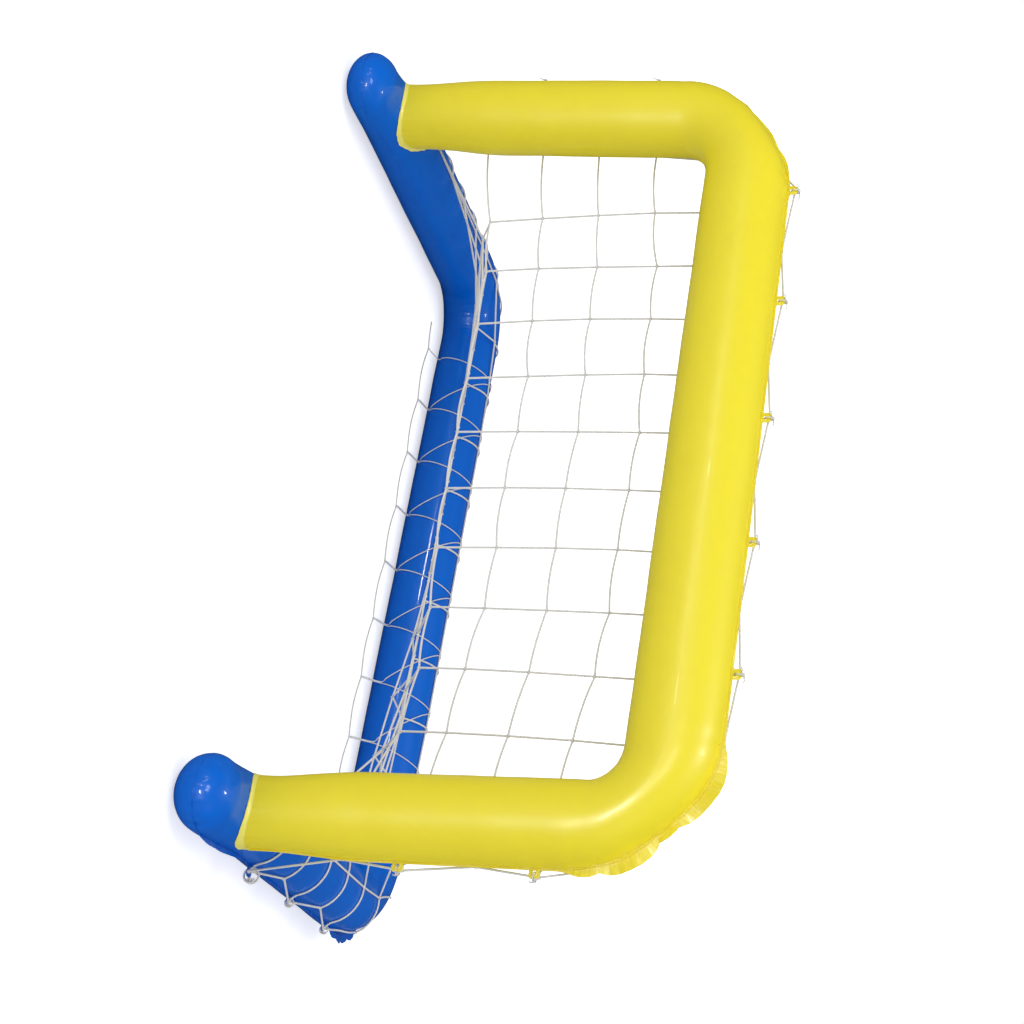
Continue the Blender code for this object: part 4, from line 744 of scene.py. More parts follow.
class Weave:
    """Gathers sheets and tubes of quads, with flat coordinates in metres, into one mesh."""

    def __init__(self):
        self.verts = []
        self.faces = []
        self.flats = []

    def sheet(self, rows, us=None, vs=None, loop=False, ring=False, caps=False, narrow=()):
        """Quads through rows of points; loop joins the last row to the first, ring closes each row.

        The rows numbered in narrow are too narrow for a weld line.
        """
        first = len(self.verts)
        count, width = len(rows), len(rows[0])
        us = us or evenly(0.001 * count, count)
        vs = vs or evenly(0.001 * width, width)
        self.verts += [tuple(point) for row in rows for point in row]
        for i in range(count if loop else count - 1):
            for j in range(width if ring else width - 1):
                here, there = first + i * width, first + ((i + 1) % count) * width
                after = (j + 1) % width
                self.faces.append((here + j, here + after, there + after, there + j))
                low, high = vs[j], vs[j + 1]
                if i in narrow:
                    low, high = 0.0, 0.001
                self.flats += [(us[i], low), (us[i], high), (us[i + 1], high), (us[i + 1], low)]
        if caps:
            last = first + (count - 1) * width
            self.faces.append(tuple(first + j for j in range(width))[::-1])
            self.faces.append(tuple(last + j for j in range(width)))
            self.flats += [(us[0], 0.0)] * width + [(us[-1], 0.0)] * width

    def tube(self, points, radius, sides=CORD_SIDES, closed=False, start=0.0):
        """A round cord along points."""
        rows, us = cord_rows(points, radius, sides, closed)
        self.sheet(rows, [start + u for u in us], evenly(1.0, sides), loop=closed, ring=True, caps=not closed)

    def made(self, name):
        mesh = bpy.data.meshes.new(name)
        mesh.from_pydata(self.verts, [], self.faces)
        layer = mesh.uv_layers.new(name="flat")
        layer.data.foreach_set("uv", [number for flat in self.flats for number in flat])
        mesh.update()
        obj = bpy.data.objects.new(name, mesh)
        fix = opened(obj)
        bmesh.ops.recalc_face_normals(fix, faces=fix.faces)
        put_back(fix, obj)
        mesh.shade_smooth()
        bpy.context.scene.collection.objects.link(obj)
        return obj


def woven(name, rows, *flats, **how):
    """One sheet as an object of its own."""
    weave = Weave()
    weave.sheet(rows, *flats, **how)
    return weave.made(name)


def cord_rows(points, radius, sides, closed):
    """Rings round a path, turned as little as can be from one to the next."""
    points = [Vector(point) for point in points]
    count = len(points)
    us = [0.0]
    for here, there in zip(points, points[1:] + points[:1]):
        us.append(us[-1] + (there - here).length)
    rows = []
    side = None
    for k, point in enumerate(points):
        before = points[(k - 1) % count] if closed or k else point
        after = points[(k + 1) % count] if closed or k < count - 1 else point
        heading = (after - before).normalized()
        if side is None:
            side = heading.orthogonal().normalized()
        side = (side - heading * side.dot(heading)).normalized()
        other = heading.cross(side)
        rows.append([point + (side * math.cos(angle) + other * math.sin(angle)) * radius for angle in turns(sides)])
    return rows, us


def thicken(obj, thickness, offset=0.0):
    """Gives a sheet its wall, with crisp rims."""
    crisp = opened(obj)
    for edge in crisp.edges:
        edge.smooth = not edge.is_boundary
    put_back(crisp, obj)
    wall = obj.modifiers.new("wall", "SOLIDIFY")
    wall.thickness = thickness
    wall.offset = offset
    return obj


def lobe(share):
    """Rises steeply from a cusp, rounds over and falls steeply to the next."""
    return math.sin(math.pi * min(1.0, max(0.0, share))) ** 0.6


def soft_wave(seed, d, theta):
    """Slow unevenness, from -1 to 1."""
    total = 0.0
    for k, (length, rounds) in enumerate(SOFT_WAVES):
        total += math.sin(2 * math.pi * d / length + rounds * theta + seed * (1.3 + k)) / (1.0 + 0.6 * k)
    return total / SOFT_WAVE_SUM


# ---- Relief of the inflated skins ----


def cusp_places(tube, cusps):
    """Pinched places of both bends' outer seams, each measured from the start of its bend."""
    start = tube.bend[0]
    left, right = cusps
    return sorted(start + cusp for cusp in left) + sorted(tube.length - start - cusp for cusp in right)


def crease(dice, place, kind):
    """A crease is its place, depth, reach round the tube, lean and width."""
    depth, depths, reach, reaches, lean, width = kind
    return place, depth * dice.uniform(*depths), reach * dice.uniform(*reaches), dice.uniform(-lean, lean), width


def seam_creases(tube, cusps, seed):
    """Creases that run in from the ruffled seam: at each cusp a long one, short ones between."""
    dice = np.random.default_rng(seed + 1)
    places = cusp_places(tube, cusps)
    reaches, depths = CUSP_CREASE_SHARES
    creases = []
    for here, there in zip(places, places[1:]):
        gap = there - here
        reach = PUCKER_REACH * dice.uniform(*reaches)
        depth = PUCKER_DEPTH * dice.uniform(*depths)
        creases.append((here, depth, reach, dice.uniform(-CUSP_CREASE_LEAN, CUSP_CREASE_LEAN), PUCKER_WIDTH))
        if gap > STRAIGHT_GAP:
            continue
        parts = max(2, int(gap / SHORT_CREASE_PITCH))
        for k in range(1, parts):
            creases.append(crease(dice, here + gap * (k + dice.uniform(-0.25, 0.25)) / parts, SHORT_CREASE))
    creases.append((places[-1], PUCKER_DEPTH * 0.8, PUCKER_REACH, 0.004, PUCKER_WIDTH))
    return creases


def crossing_creases(tube, seed):
    """Faint creases right across the tube, at the start of each bend."""
    dice = np.random.default_rng(seed + 2)
    start, end = tube.bend
    creases = []
    for from_place, beside in zip((start, start, end), LONG_CREASE_PLACES):
        for side in (-1, 1):
            place = tube.mirrored(from_place + beside, side)
            creases.append(crease(dice, place + dice.uniform(-0.006, 0.006), LONG_CREASE))
    return creases


def inner_creases(tube, seed, kind):
    """Short creases on the inner side of each bend, measured from the inner seam."""
    dice = np.random.default_rng(seed + 3)
    start, end = tube.bend
    creases = []
    count = int((end - start) / INNER_CREASE_PITCH)
    for k in range(count):
        place = start + (end - start) * (k + 0.5 + dice.uniform(-0.3, 0.3)) / count
        creases += [crease(dice, tube.mirrored(place, side), kind) for side in (-1, 1)]
    return creases


def crease_depth(creases, d, theta):
    total = 0.0
    for place, depth, reach, lean, width in creases:
        if theta >= reach:
            continue
        wide = width * (1.0 + 0.9 * theta)
        off = (d - place - lean * theta) / wide
        if abs(off) < 3.0:
            total += depth * math.exp(-off * off) * (1.0 - theta / reach) ** 1.5
    return total


class Relief:
    """Offsets of a skin from its tube's true round."""

    def __init__(self, tube, flat, seed, outer, inner):
        self.tube, self.flat, self.seed = tube, flat, seed
        self.outer, self.inner = outer, inner

    def near(self, d):
        """The same with only the creases round one ring."""
        close = [[crease for crease in creases if abs(crease[0] - d) < CREASE_SEARCH]
                 for creases in (self.outer, self.inner)]
        return Relief(self.tube, self.flat, self.seed, *close)

    def at(self, d, theta, side):
        shift = SOFTNESS * soft_wave(self.seed + side, d, theta * side)
        shift -= corner_flat(self.tube, d, self.flat) * max(0.0, math.cos(theta)) ** 1.5
        shift -= crease_depth(self.outer, d + CREASE_SHIFT * side, theta)
        return shift - crease_depth(self.inner, d, math.pi - theta)


def make_relief(tube, cusps, seed, inner_share, flat):
    outer = seam_creases(tube, cusps, seed) + crossing_creases(tube, seed)
    inner = (INNER_CREASE[0] * inner_share, *INNER_CREASE[1:])
    return Relief(tube, flat, seed, outer, inner_creases(tube, seed, inner))


def corner_flat(tube, d, flat):
    """How far the outer side of a corner lies inside the true round."""
    start, end = tube.bend
    near = min(d, tube.length - d)
    share = (near - start + CORNER_EASE) / (end - start + 2 * CORNER_EASE)
    deep, skew = flat[0 if near == d else 1]
    return deep * math.sin(math.pi * share ** skew) ** 2 if 0.0 < share < 1.0 else 0.0


def weld_distance(theta):
    """Distance up a post at which its skin meets the base's side tube."""
    aside = POST_FOOT_OUT + POST_NECK_RADIUS * math.cos(theta)
    return math.sqrt(BASE_RADIUS ** 2 - aside ** 2) - POST_BURIED * BASE_RADIUS + SADDLE_CLEARANCE


def ring_places(tube, first, last, valve_spots):
    """Even steps, close together in and beside the bends and at a valve."""
    places = []
    d = first
    while d < last:
        places.append(d)
        bend = any(start - RUFFLE_OVERRUN < d < end + RUFFLE_OVERRUN for start, end in tube.path.bends())
        valve = any(abs(d - spot) < VALVE_REACH for spot in valve_spots)
        straight = RUN_STEP / 2 if d < first + END_ZONE else RUN_STEP
        d += VALVE_STEP if valve else BEND_STEP if bend else straight
    return places + [last]


def cut_for_stem(obj, places):
    """Opens a skin where a valve's stem passes, under its flange."""
    cut = opened(obj)
    doomed = []
    for face in cut.faces:
        middle = face.calc_center_median()
        for place in places:
            local = place.inverted() @ middle
            if abs(local.z) < STEM_HOLE_DEPTH and math.hypot(local.x, local.y) < STEM_RADIUS + STEM_HOLE_EASE:
                doomed.append(face)
    bmesh.ops.delete(cut, geom=doomed, context="FACES")
    put_back(cut, obj)


def face_out(obj, tube):
    """Turns the faces away from the tube's axis."""
    polygon = obj.data.polygons[len(obj.data.polygons) // 2]
    steps = [tube.centre(place) for place in evenly(tube.length, 200)]
    nearest = min(steps, key=lambda centre: (centre - polygon.center).length)
    if polygon.normal.dot(polygon.center - nearest) < 0.0:
        obj.data.flip_normals()


def walled(obj, tube, valves):
    """Half a skin with its wall, open where a valve's stem passes."""
    cut_for_stem(obj, [place for _spot, place in valves])
    face_out(obj, tube)
    return thicken(obj, WALL, -1.0)


def neck_wrinkles(d, theta, side, length):
    """Fine upright wrinkles just above the weld of a post."""
    above = min(d, length - d) - weld_distance(theta)
    fade = max(0.0, 1.0 - above / NECK_WRINKLE_HEIGHT) ** 2
    close, slow, fine = NECK_RIPPLES
    ripple = math.sin(close * theta + 2.0 * side) * math.sin(slow * theta + 1.1) + 0.5 * math.sin(fine * theta)
    return NECK_WRINKLE_DEPTH * fade * ripple


def portal_half(name, tube, side, relief, valves, finish, node):
    """One half of the portal's skin, from weld to weld."""
    length = tube.length
    inner = ring_places(tube, NECK_ZONE, length - NECK_ZONE, [spot for spot, _place in valves])
    starts = evenly(NECK_ZONE, NECK_RINGS)[:-1]
    rings = starts + inner + [length - near for near in starts[::-1]]
    rows = []
    for ring in rings:
        close = relief.near(ring)
        row = []
        for theta in evenly(math.pi, HALF_STEPS):
            d = ring
            weld = weld_distance(theta)
            near = min(ring, length - ring)
            if near < NECK_ZONE:
                near = weld + near * (NECK_ZONE - weld) / NECK_ZONE
                d = near if ring < length / 2 else length - near
            reach = tube.radius_at(d) + close.at(d, theta, side)
            if near < weld + NECK_WRINKLE_HEIGHT:
                reach += neck_wrinkles(d, theta, side, length)
            point = tube.centre(d) + tube.outward(d) * (reach * math.cos(theta))
            row.append(point + tube.normal * (side * (reach * math.sin(theta) + SKIN_GAP / 2)))
        rows.append(row)
    obj = woven(name, rows, rings, evenly(CROSSBAR_RADIUS * math.pi, HALF_STEPS))
    dress(walled(obj, tube, valves), finish, [node])


def foot_pinches(seed):
    """Creases round the end of a foot: direction in the seam's plane, depth, reach up, width."""
    dice = np.random.default_rng(seed + 7)
    pinches = [(math.radians(way), *rest) for way, *rest in FOOT_FOLDS]
    for k in range(FOOT_PUCKERS):
        way = math.pi * (k + dice.uniform(0.2, 0.8)) / FOOT_PUCKERS
        pinches.append((way, FOOT_PUCKER_DEPTH * dice.uniform(0.5, 1.0), dice.uniform(0.35, 0.75), FOOT_PUCKER_WIDTH))
    return pinches


def pinch_depth(pinches, phi, rise):
    total = 0.0
    for way, depth, reach, width in pinches:
        if rise < reach:
            total += depth * math.exp(-((phi - way) / width) ** 2) * (1.0 - rise / reach) ** 1.4
    return total


def base_half(name, tube, side, relief, valves, finish, node):
    """One half of the base's skin with both round feet."""
    length = tube.length
    latitudes = evenly(0.5 * math.pi, DOME_STEPS)[:-1]
    rings = [(0.0, latitude) for latitude in latitudes]
    rings += [(ring, None) for ring in ring_places(tube, 0.0, length, [spot for spot, _place in valves])]
    rings += [(length, latitude) for latitude in latitudes[::-1]]
    rows = []
    us = []
    for ring, latitude in rings:
        close = relief.near(ring)
        left = ring < length / 2
        heading = -tube.tangent(ring) if left else tube.tangent(ring)
        centre = tube.centre(ring)
        out = tube.outward(ring)
        pinches = foot_pinches(relief.seed + (0 if left else 1))
        share = 1.0 if latitude is None else math.sin(latitude)
        ahead = 0.0 if latitude is None else math.cos(latitude)
        near = min(ring, length - ring)
        row = []
        for theta in evenly(math.pi, HALF_STEPS):
            reach = BASE_RADIUS + close.at(ring, theta, side) * share
            if near < FOOT_PUCKER_LENGTH:
                rise = math.asin(min(1.0, share * math.sin(theta)))
                phi = math.atan2(ahead, share * math.cos(theta)) - near / BASE_RADIUS * math.cos(theta)
                reach -= pinch_depth(pinches, phi, rise) * (1.0 - near / FOOT_PUCKER_LENGTH)
            point = centre + heading * (reach * ahead) + out * (reach * share * math.cos(theta))
            row.append(point + tube.normal * (side * (reach * share * math.sin(theta) + SKIN_GAP / 2)))
        rows.append(row)
        us.append(ring + ahead * BASE_RADIUS * (-1 if left else 1))
    obj = woven(name, rows, us, evenly(BASE_RADIUS * math.pi, HALF_STEPS))
    weld = opened(obj)
    bmesh.ops.remove_doubles(weld, verts=weld.verts, dist=1e-6)
    put_back(weld, obj)
    walled(obj, tube, valves)
    obj.data.shade_smooth()
    dress(obj, finish, [node])


# ---- Welded seams ----


def swing(d, kind, seed):
    """A slow swing along a seam."""
    size, length = kind
    return size * math.sin(d / length + seed)


def flange_row(tube, d, share, places, widths, seed, root=0.0):
    """Points across the outer flange at one place: root inside the skins, rippled edge.

    Widths are on straight runs, at a cusp, added by a full lobe, the left corner's share, and a lobe's span.
    """
    narrow, low, lobed, first_share, span = widths
    after = next((k for k, place in enumerate(places) if place > d), len(places) - 1)
    here = places[max(0, after - 1)]
    gap = places[after] - here
    wave = lobe((d - here) / max(gap, 1e-6)) * min(1.0, gap / span) ** 2 if gap < STRAIGHT_GAP else 0.0
    size = first_share if d < tube.length / 2 else 1.0
    width = narrow + ((low + lobed * wave) * size - narrow) * share
    back = RIPPLE_HEIGHT * math.sin(2 * math.pi * d / RIPPLE_PITCH + swing(d, RIPPLE_DRIFT, seed))
    back += WAVE_HEIGHT * math.sin(d / WAVE_LENGTH + swing(d, WAVE_DRIFT, seed))
    back = back * share + swing(d, SEAM_DRIFT, seed)
    row = [tube.beside_seam(d, root - (PUCKER_DEPTH + FLANGE_INSIDE), 0.0)]
    for t in evenly(1.0, FLANGE_ROWS - 1):
        row.append(tube.beside_seam(d, root + FLANGE_CLEAR + width * t, back * t ** 1.2))
    return row


def strip_places(first, last):
    return [first + along for along in evenly(last - first, math.ceil((last - first) / FLANGE_STEP))]


def foot_ruffle(near):
    """Share of a full ruffle in the base's seam beside a round foot."""
    return FOOT_RUFFLE * math.sin(math.pi * near / FOOT_RUFFLE_REACH) if near < FOOT_RUFFLE_REACH else 0.0


def inner_row(centre, way, root, width):
    """Points across a narrow seam."""
    return [centre + way * (root + out) for out in [-NARROW_INSIDE] + evenly(width, FLANGE_ROWS - 1)]


def seam(name, rows, us, narrow, finish, node, loop=False):
    """A strip of welded vinyl through rows of points across it."""
    strip = woven(name, rows, us, [-FLANGE_DEPTH] + evenly(FLANGE_SPREAD, FLANGE_ROWS - 1), loop=loop, narrow=narrow)
    dress(thicken(strip, SEAM_THICKNESS), finish, [node])


def portal_seams(tube, finish):
    clear = post_place(tube, BASE_AXIS_Z + SEAM_END_HEIGHT, -1)
    places = strip_places(clear, tube.length - clear)
    cusps = cusp_places(tube, PORTAL_CUSPS)
    widths = (SEAM_WIDTH, PORTAL_FLANGE_WIDTH, PORTAL_LOBE_HEIGHT, PORTAL_LEFT_SHARE, PORTAL_LOBE_SPAN)
    rows = [flange_row(tube, d, ruffle_share(tube.path, d), cusps, widths, 0.0, -corner_flat(tube, d, CORNER_FLAT))
            for d in places]
    seam("portal_outer_flange", rows, places, (), finish, "portal_outer_seam")
    rows = [inner_row(tube.centre(d), -tube.outward(d), tube.radius_at(d), INNER_RIDGE) for d in places]
    seam("portal_inner_ridge", rows, places, range(len(rows)), finish, "portal_inner_seam")


def base_seam_strip(tube, finish):
    length = tube.length
    places = strip_places(0.0, length)
    cusps = cusp_places(tube, BASE_CUSPS)
    widths = (SEAM_WIDTH, BASE_FLANGE_WIDTH, BASE_LOBE_HEIGHT, 1.0, BASE_LOBE_SPAN)
    shares = [max(ruffle_share(tube.path, d), foot_ruffle(min(d, length - d))) for d in places]
    rows = [flange_row(tube, d, share, cusps, widths, 2.0) for d, share in zip(places, shares)]
    noses = []
    for d, heading in ((length, tube.tangent(length)), (0.0, -tube.tangent(0.0))):
        ways = [tube.outward(d) * math.cos(angle) + heading * math.sin(angle)
                for angle in evenly(math.pi, NOSE_STEPS)[1:-1]]
        noses.append([inner_row(tube.centre(d), way, BASE_RADIUS, FLUSH_SEAM) for way in ways])
    inner = [inner_row(tube.centre(d), -tube.outward(d), BASE_RADIUS, FLUSH_SEAM) for d in places]
    rows = rows + noses[0] + inner[::-1] + noses[1][::-1]
    us = [0.0]
    for here, there in zip(rows, rows[1:] + rows[:1]):
        us.append(us[-1] + (here[1] - there[1]).length)
    seam("base_flange", rows, us, range(len(places), len(rows)), finish, "base_seam", loop=True)


def edge_of(ring, centre, way):
    """Where a ray in the flat from a hole's centre leaves a tab's outline."""
    best = None
    for a, b in zip(ring, ring[1:] + ring[:1]):
        edge = b - a
        det = way.x * edge.y - way.y * edge.x
        if abs(det) < 1e-12:
            continue
        gap = a - centre
        reach = (gap.x * edge.y - gap.y * edge.x) / det
        along = (gap.x * way.y - gap.y * way.x) / det
        if reach > 0.0 and -1e-6 <= along <= 1.0 + 1e-6 and (best is None or reach < best):
            best = reach
    return best


def tab_outline(radius, size):
    """Tongue of one tab beside its tube."""
    half = TAB_WIDTH * size / 2
    tip = radius + TAB_LENGTH * size
    round_part = half * TAB_ROUNDING
    tongue = [(-half, radius + TAB_ROOT), (half, radius + TAB_ROOT), (half, tip - round_part)]
    for step in range(1, 4):
        angle = 0.5 * math.pi * step / 4
        tongue.append((half - round_part * (1 - math.cos(angle)), tip - round_part * (1 - math.sin(angle))))
    return tongue + [(-aside, out) for aside, out in tongue[:1:-1]]


def tab_rows(tube, d, hole_radius, reach, size):
    """Closed sections from an eyelet's hole out to its tab's edge and back underneath."""
    spot, heading = tube.path.at(d)
    outward = Vector((-heading.y, heading.x))
    radius = tube.radius_at(d)
    tongue = [spot + heading * aside + outward * out for aside, out in tab_outline(radius, size)]
    centre = spot + outward * (radius + reach)
    rows = []
    for angle in turns(TURNED_STEPS):
        way = heading * math.cos(angle) + outward * math.sin(angle)
        edge = max(edge_of(tongue, centre, way), hole_radius + TAB_RIM)
        profile = [(hole_radius + (edge - hole_radius) * s, TAB_THICKNESS * TAB_SWELL * h) for s, h in TAB_PROFILE]
        section = profile + [(out, -lift) for out, lift in profile[-2::-1]]
        rows.append([tube.origin + tube.lift(centre + way * out) + tube.normal * lift for out, lift in section])
    return rows


def loop_centre(loop_radius):
    """Middle of a tie's loop, beyond the tube and behind its tab."""
    return NET_EDGE_REACH + (loop_radius - TIE_RADIUS), TIE_CENTRE_BACK * loop_radius


def hole_reach(loop_radius):
    """Where a tie's loop passes through its tab, beyond the tube."""
    out, back = loop_centre(loop_radius)
    return out - math.sqrt(loop_radius ** 2 - back ** 2)


def make_tabs(name, tube, places, foot_places, finish):
    weave = Weave()
    kinds = [(d, TIE_HOLE_RADIUS, hole_reach(TIE_RADIUS), 1.0) for d in places]
    kinds += [(d, FOOT_TIE_HOLE_RADIUS, hole_reach(FOOT_TIE_RADIUS), FOOT_TAB_SIZE) for d in foot_places]
    for kind in kinds:
        weave.sheet(tab_rows(tube, *kind), loop=True, ring=True)
    dress(weave.made(name), finish, [], "goal")


def post_weld_strip(word, side, portal, base, finish):
    """The welded foot of a post: a fillet down from its skin and a thin lip out on the base."""
    rows = []
    middle_d = side_place(base, POST_FOOT_Y, side)
    for angle in turns(WELD_STEPS):
        row = [foot_point(portal, base, side, angle, aside, lift) for aside, lift in (*WELD_FILLET, WELD_FOOT)]
        last = row[-1]
        d = side_place(base, last.y, side)
        axis = base.centre(d)
        turn = math.atan2(last.z - axis.z, (last - axis).dot(base.outward(d)))
        across = (turn - math.pi / 2) * BASE_RADIUS + POST_FOOT_OUT
        along = d - middle_d
        far = math.hypot(across, along)
        (high, waves), (low, fine) = WELD_RIPPLES
        ripple = high * math.sin(waves * angle + side) + low * math.sin(fine * angle)
        for out, lift in (*WELD_LIP, (WELD_EDGE[0] + ripple, WELD_EDGE[1] + ripple)):
            grow = (far + out) / far
            place = middle_d + along * grow
            row.append(base.surface(place, math.pi / 2 + (across * grow - POST_FOOT_OUT) / BASE_RADIUS, lift))
        rows.append(row)
    strip = thicken(woven(word + "_weld_strip", rows, loop=True), SEAM_THICKNESS)
    dress(strip, finish, [word + "_post_weld"])


# ---- Net ----


def strand_path(start, end, sag, bodies):
    """Points from one knot to the next, sagging a little and laid on what is under them."""
    steps = max(3, math.ceil((end - start).length / CORD_STEP))
    points = []
    for share in evenly(1.0, steps):
        spot = start.lerp(end, share)
        spot.z -= sag * 4 * share * (1 - share)
        points.append(laid_on(spot, bodies) if 0 < share < 1 else spot)
    for _round in range(2):
        smoothed = [(before + here * 2 + after) / 4 for before, here, after in zip(points, points[1:], points[2:])]
        points = [points[0]] + smoothed + [points[-1]]
    return points


def ring_points(centre, first, second, radius, steps=12):
    return [centre + (first * math.cos(angle) + second * math.sin(angle)) * radius for angle in turns(steps)]


def knot_axes(knots, column, row):
    here = knots[column, row]
    across = knots.get((column + 1, row), here) - knots.get((column - 1, row), here)
    down = knots.get((column, row + 1), here) - knots.get((column, row - 1), here)
    out = across.cross(down).normalized()
    across.normalize()
    return across, out.cross(across).normalized(), out


def add_knot(weave, spot, axes, dice):
    """A small net knot: two turns of cord that cross round the strands."""
    across, down, out = axes
    tilt = KNOT_TILT + dice.uniform(-KNOT_TILT_SPREAD, KNOT_TILT_SPREAD)
    first = (across * math.cos(tilt) + down * math.sin(tilt)).normalized()
    second = (across * math.cos(tilt) - down * math.sin(tilt)).normalized()
    radius, cord = KNOT_TURN
    for way, other in ((first, second), (second, first)):
        weave.tube(ring_points(spot + way * KNOT_ASIDE, other, out, radius), cord, KNOT_SIDES, closed=True)
    radius, cord = KNOT_BAND
    weave.tube(ring_points(spot, across, out, radius, 10), cord, KNOT_SIDES, closed=True)


def settled(points, tube):
    """Cord points that follow the flatter outer side of a corner of the portal."""
    start, end = tube.bend
    low = tube.centre(start - CORNER_EASE).z - CROSSBAR_RADIUS
    steps = [start - CORNER_EASE + along for along in evenly(end - start + 2 * CORNER_EASE, 50)]
    steps += [tube.length - step for step in steps]
    moved = []
    for point in points:
        if point.z > low:
            d = min(steps, key=lambda step: (tube.centre(step) - point).length)
            apart = point - tube.centre(d)
            share = max(0.0, apart.dot(tube.outward(d)) / apart.length) ** 1.5
            share *= 1.0 - smoothstep((apart.length / tube.radius_at(d) - SETTLE_REACH) / SETTLE_FADE)
            point = point - tube.outward(d) * (corner_flat(tube, d, CORNER_FLAT) * share)
        moved.append(point)
    return moved


def taut_knot(column, row, portal, base):
    """A knot of the net; below the last hanging row the net is one even slope."""
    place = knot(column, row, portal, base)
    nearest = min(column, NET_COLUMNS - column)
    if nearest < 2 or not NET_LAST_HANGING <= row < NET_FRONT_ROW:
        return place
    front = knot(column, NET_FRONT_ROW, portal, base)
    level = front.z + NET_SLOPE * (front.y - place.y)
    place.z += (level - place.z) * (NET_RIM_EASE if nearest == 2 else 1.0)
    first, full = NET_LOOSE_COLUMNS
    place.z += NET_LOOSE_ROWS.get(row, 0.0) * smoothstep((column - first) / (full - first))
    return place


def make_net(portal, base, finish):
    bodies = (tube_samples(portal), tube_samples(base))
    dice = np.random.default_rng(NET_SEED)
    knots = {}
    for column in range(NET_COLUMNS + 1):
        for row in range(NET_ROWS + 1):
            knots[column, row] = laid_on(taut_knot(column, row, portal, base), bodies)
    weave = Weave()
    for (column, row), here in knots.items():
        hangs = NET_FIRST_HANGING <= row <= NET_LAST_HANGING
        for after, sag in (((column + 1, row), NET_SAG if hangs else 0.0), ((column, row + 1), 0.0)):
            if after in knots:
                sway = sag * dice.uniform(0.6, 1.4)
                strand = settled(strand_path(here, knots[after], sway, bodies), portal)
                weave.tube(strand, CORD_RADIUS, start=dice.uniform(0, 1))
        add_knot(weave, settled([here], portal)[0], knot_axes(knots, column, row), dice)
    dress(weave.made("net_strands"), finish, ["net"])


def smooth_path(points, step):
    """A soft line through points, Catmull and Rom's way, at even steps."""
    line = []
    padded = [points[0] * 2 - points[1]] + list(points) + [points[-1] * 2 - points[-2]]
    for a, b, c, d in zip(padded, padded[1:], padded[2:], padded[3:]):
        parts = max(2, math.ceil((c - b).length / step))
        for k in range(parts):
            t = k / parts
            line.append(0.5 * (2 * b + (c - a) * t + (2 * a - 5 * b + 4 * c - d) * t ** 2
                               + (3 * b - a - 3 * c + d) * t ** 3))
    return line + [points[-1]]


def lacing_arm(base, lower, upper, last):
    """Points over the rear bar from an upper turn down to where two arms meet."""
    points = []
    top, tilt = LACING_TOP_ANGLE, LACING_TILT
    high, low = (math.sin(math.radians(angle + tilt)) for angle in (top, last))
    for further in evenly(last - top, LACING_ARM_STEPS):
        angle = top + further
        share = (high - math.sin(math.radians(angle + tilt))) / (high - low)
        points.append(base.surface(upper + (lower - upper) * share, math.radians(angle), LACING_SEAT))
    return points


def make_cord(name, line, radius, finish, node):
    weave = Weave()
    weave.tube(line, radius)
    dress(weave.made(name), finish, [node])


def make_lacing(base, finish):
    first = LACING_SHIFT - (LACING_TURNS - 1) / 2
    lower = [base.length / 2 + (first + turn) * NET_PITCH_REAR for turn in range(LACING_TURNS)]
    upper = [place + LACING_LEAN * NET_PITCH_REAR for place in lower]
    points = []
    start, full = LACING_RISE_TURNS
    for turn, place in enumerate(lower):
        last = LACING_FOOT_ANGLE - LACING_RISE * smoothstep((turn - start) / (full - start))
        if turn > 0:
            points += lacing_arm(base, place - LACING_PINCH, upper[turn - 1] + LACING_SPLIT, last)
        for aside in (-LACING_PINCH, LACING_PINCH):
            tip = rope_spot(base, place + aside, -LACING_RADIUS)
            tip.z += ROPE_RADIUS + GAP + LACING_RADIUS
            points.append(tip)
        points += lacing_arm(base, place + LACING_PINCH, upper[turn] - LACING_SPLIT, last)[::-1]
    make_cord("rear_lacing_cord", smooth_path(points, LACING_STEP), LACING_RADIUS, finish, "rear_lacing")
    rope = []
    for step in range(-ROPE_STEPS // 2, (LACING_TURNS - 1) * ROPE_STEPS + ROPE_STEPS // 2 + 1):
        share = step / ROPE_STEPS
        forward = ROPE_SCALLOP * abs(math.sin(math.pi * share))
        rope.append(rope_spot(base, lower[0] + share * NET_PITCH_REAR, forward))
    make_cord("foot_rope_cord", rope, ROPE_RADIUS, finish, "foot_rope")


def tie_line(tube, d, loop_radius, advance):
    """A cord once and a quarter round, through the tab and round the net's edge, with two tails."""
    centre = tube.beside_seam(d, *loop_centre(loop_radius))
    out, back, along = tube.outward(d), tube.normal, tube.tangent(d)
    loop = []
    for share in evenly(1.0, TIE_STEPS):
        angle = math.radians(TIE_START + TIE_TURN * share)
        spot = centre + (out * math.cos(angle) + back * math.sin(angle)) * loop_radius
        loop.append(spot + along * (advance * (2 * share - 1)))
    tail = TIE_TAIL * loop_radius / TIE_RADIUS
    ends = []
    for sign, end in ((-1, loop[0]), (1, loop[-1])):
        reach = along * (sign * tail * TIE_TAIL_ALONG) + back * (sign * tail * TIE_TAIL_BACK)
        ends.append([end + reach * share + out * tail * aside for share, aside in TIE_TAIL_SHAPE])
    return ends[0][::-1] + loop + ends[1], loop


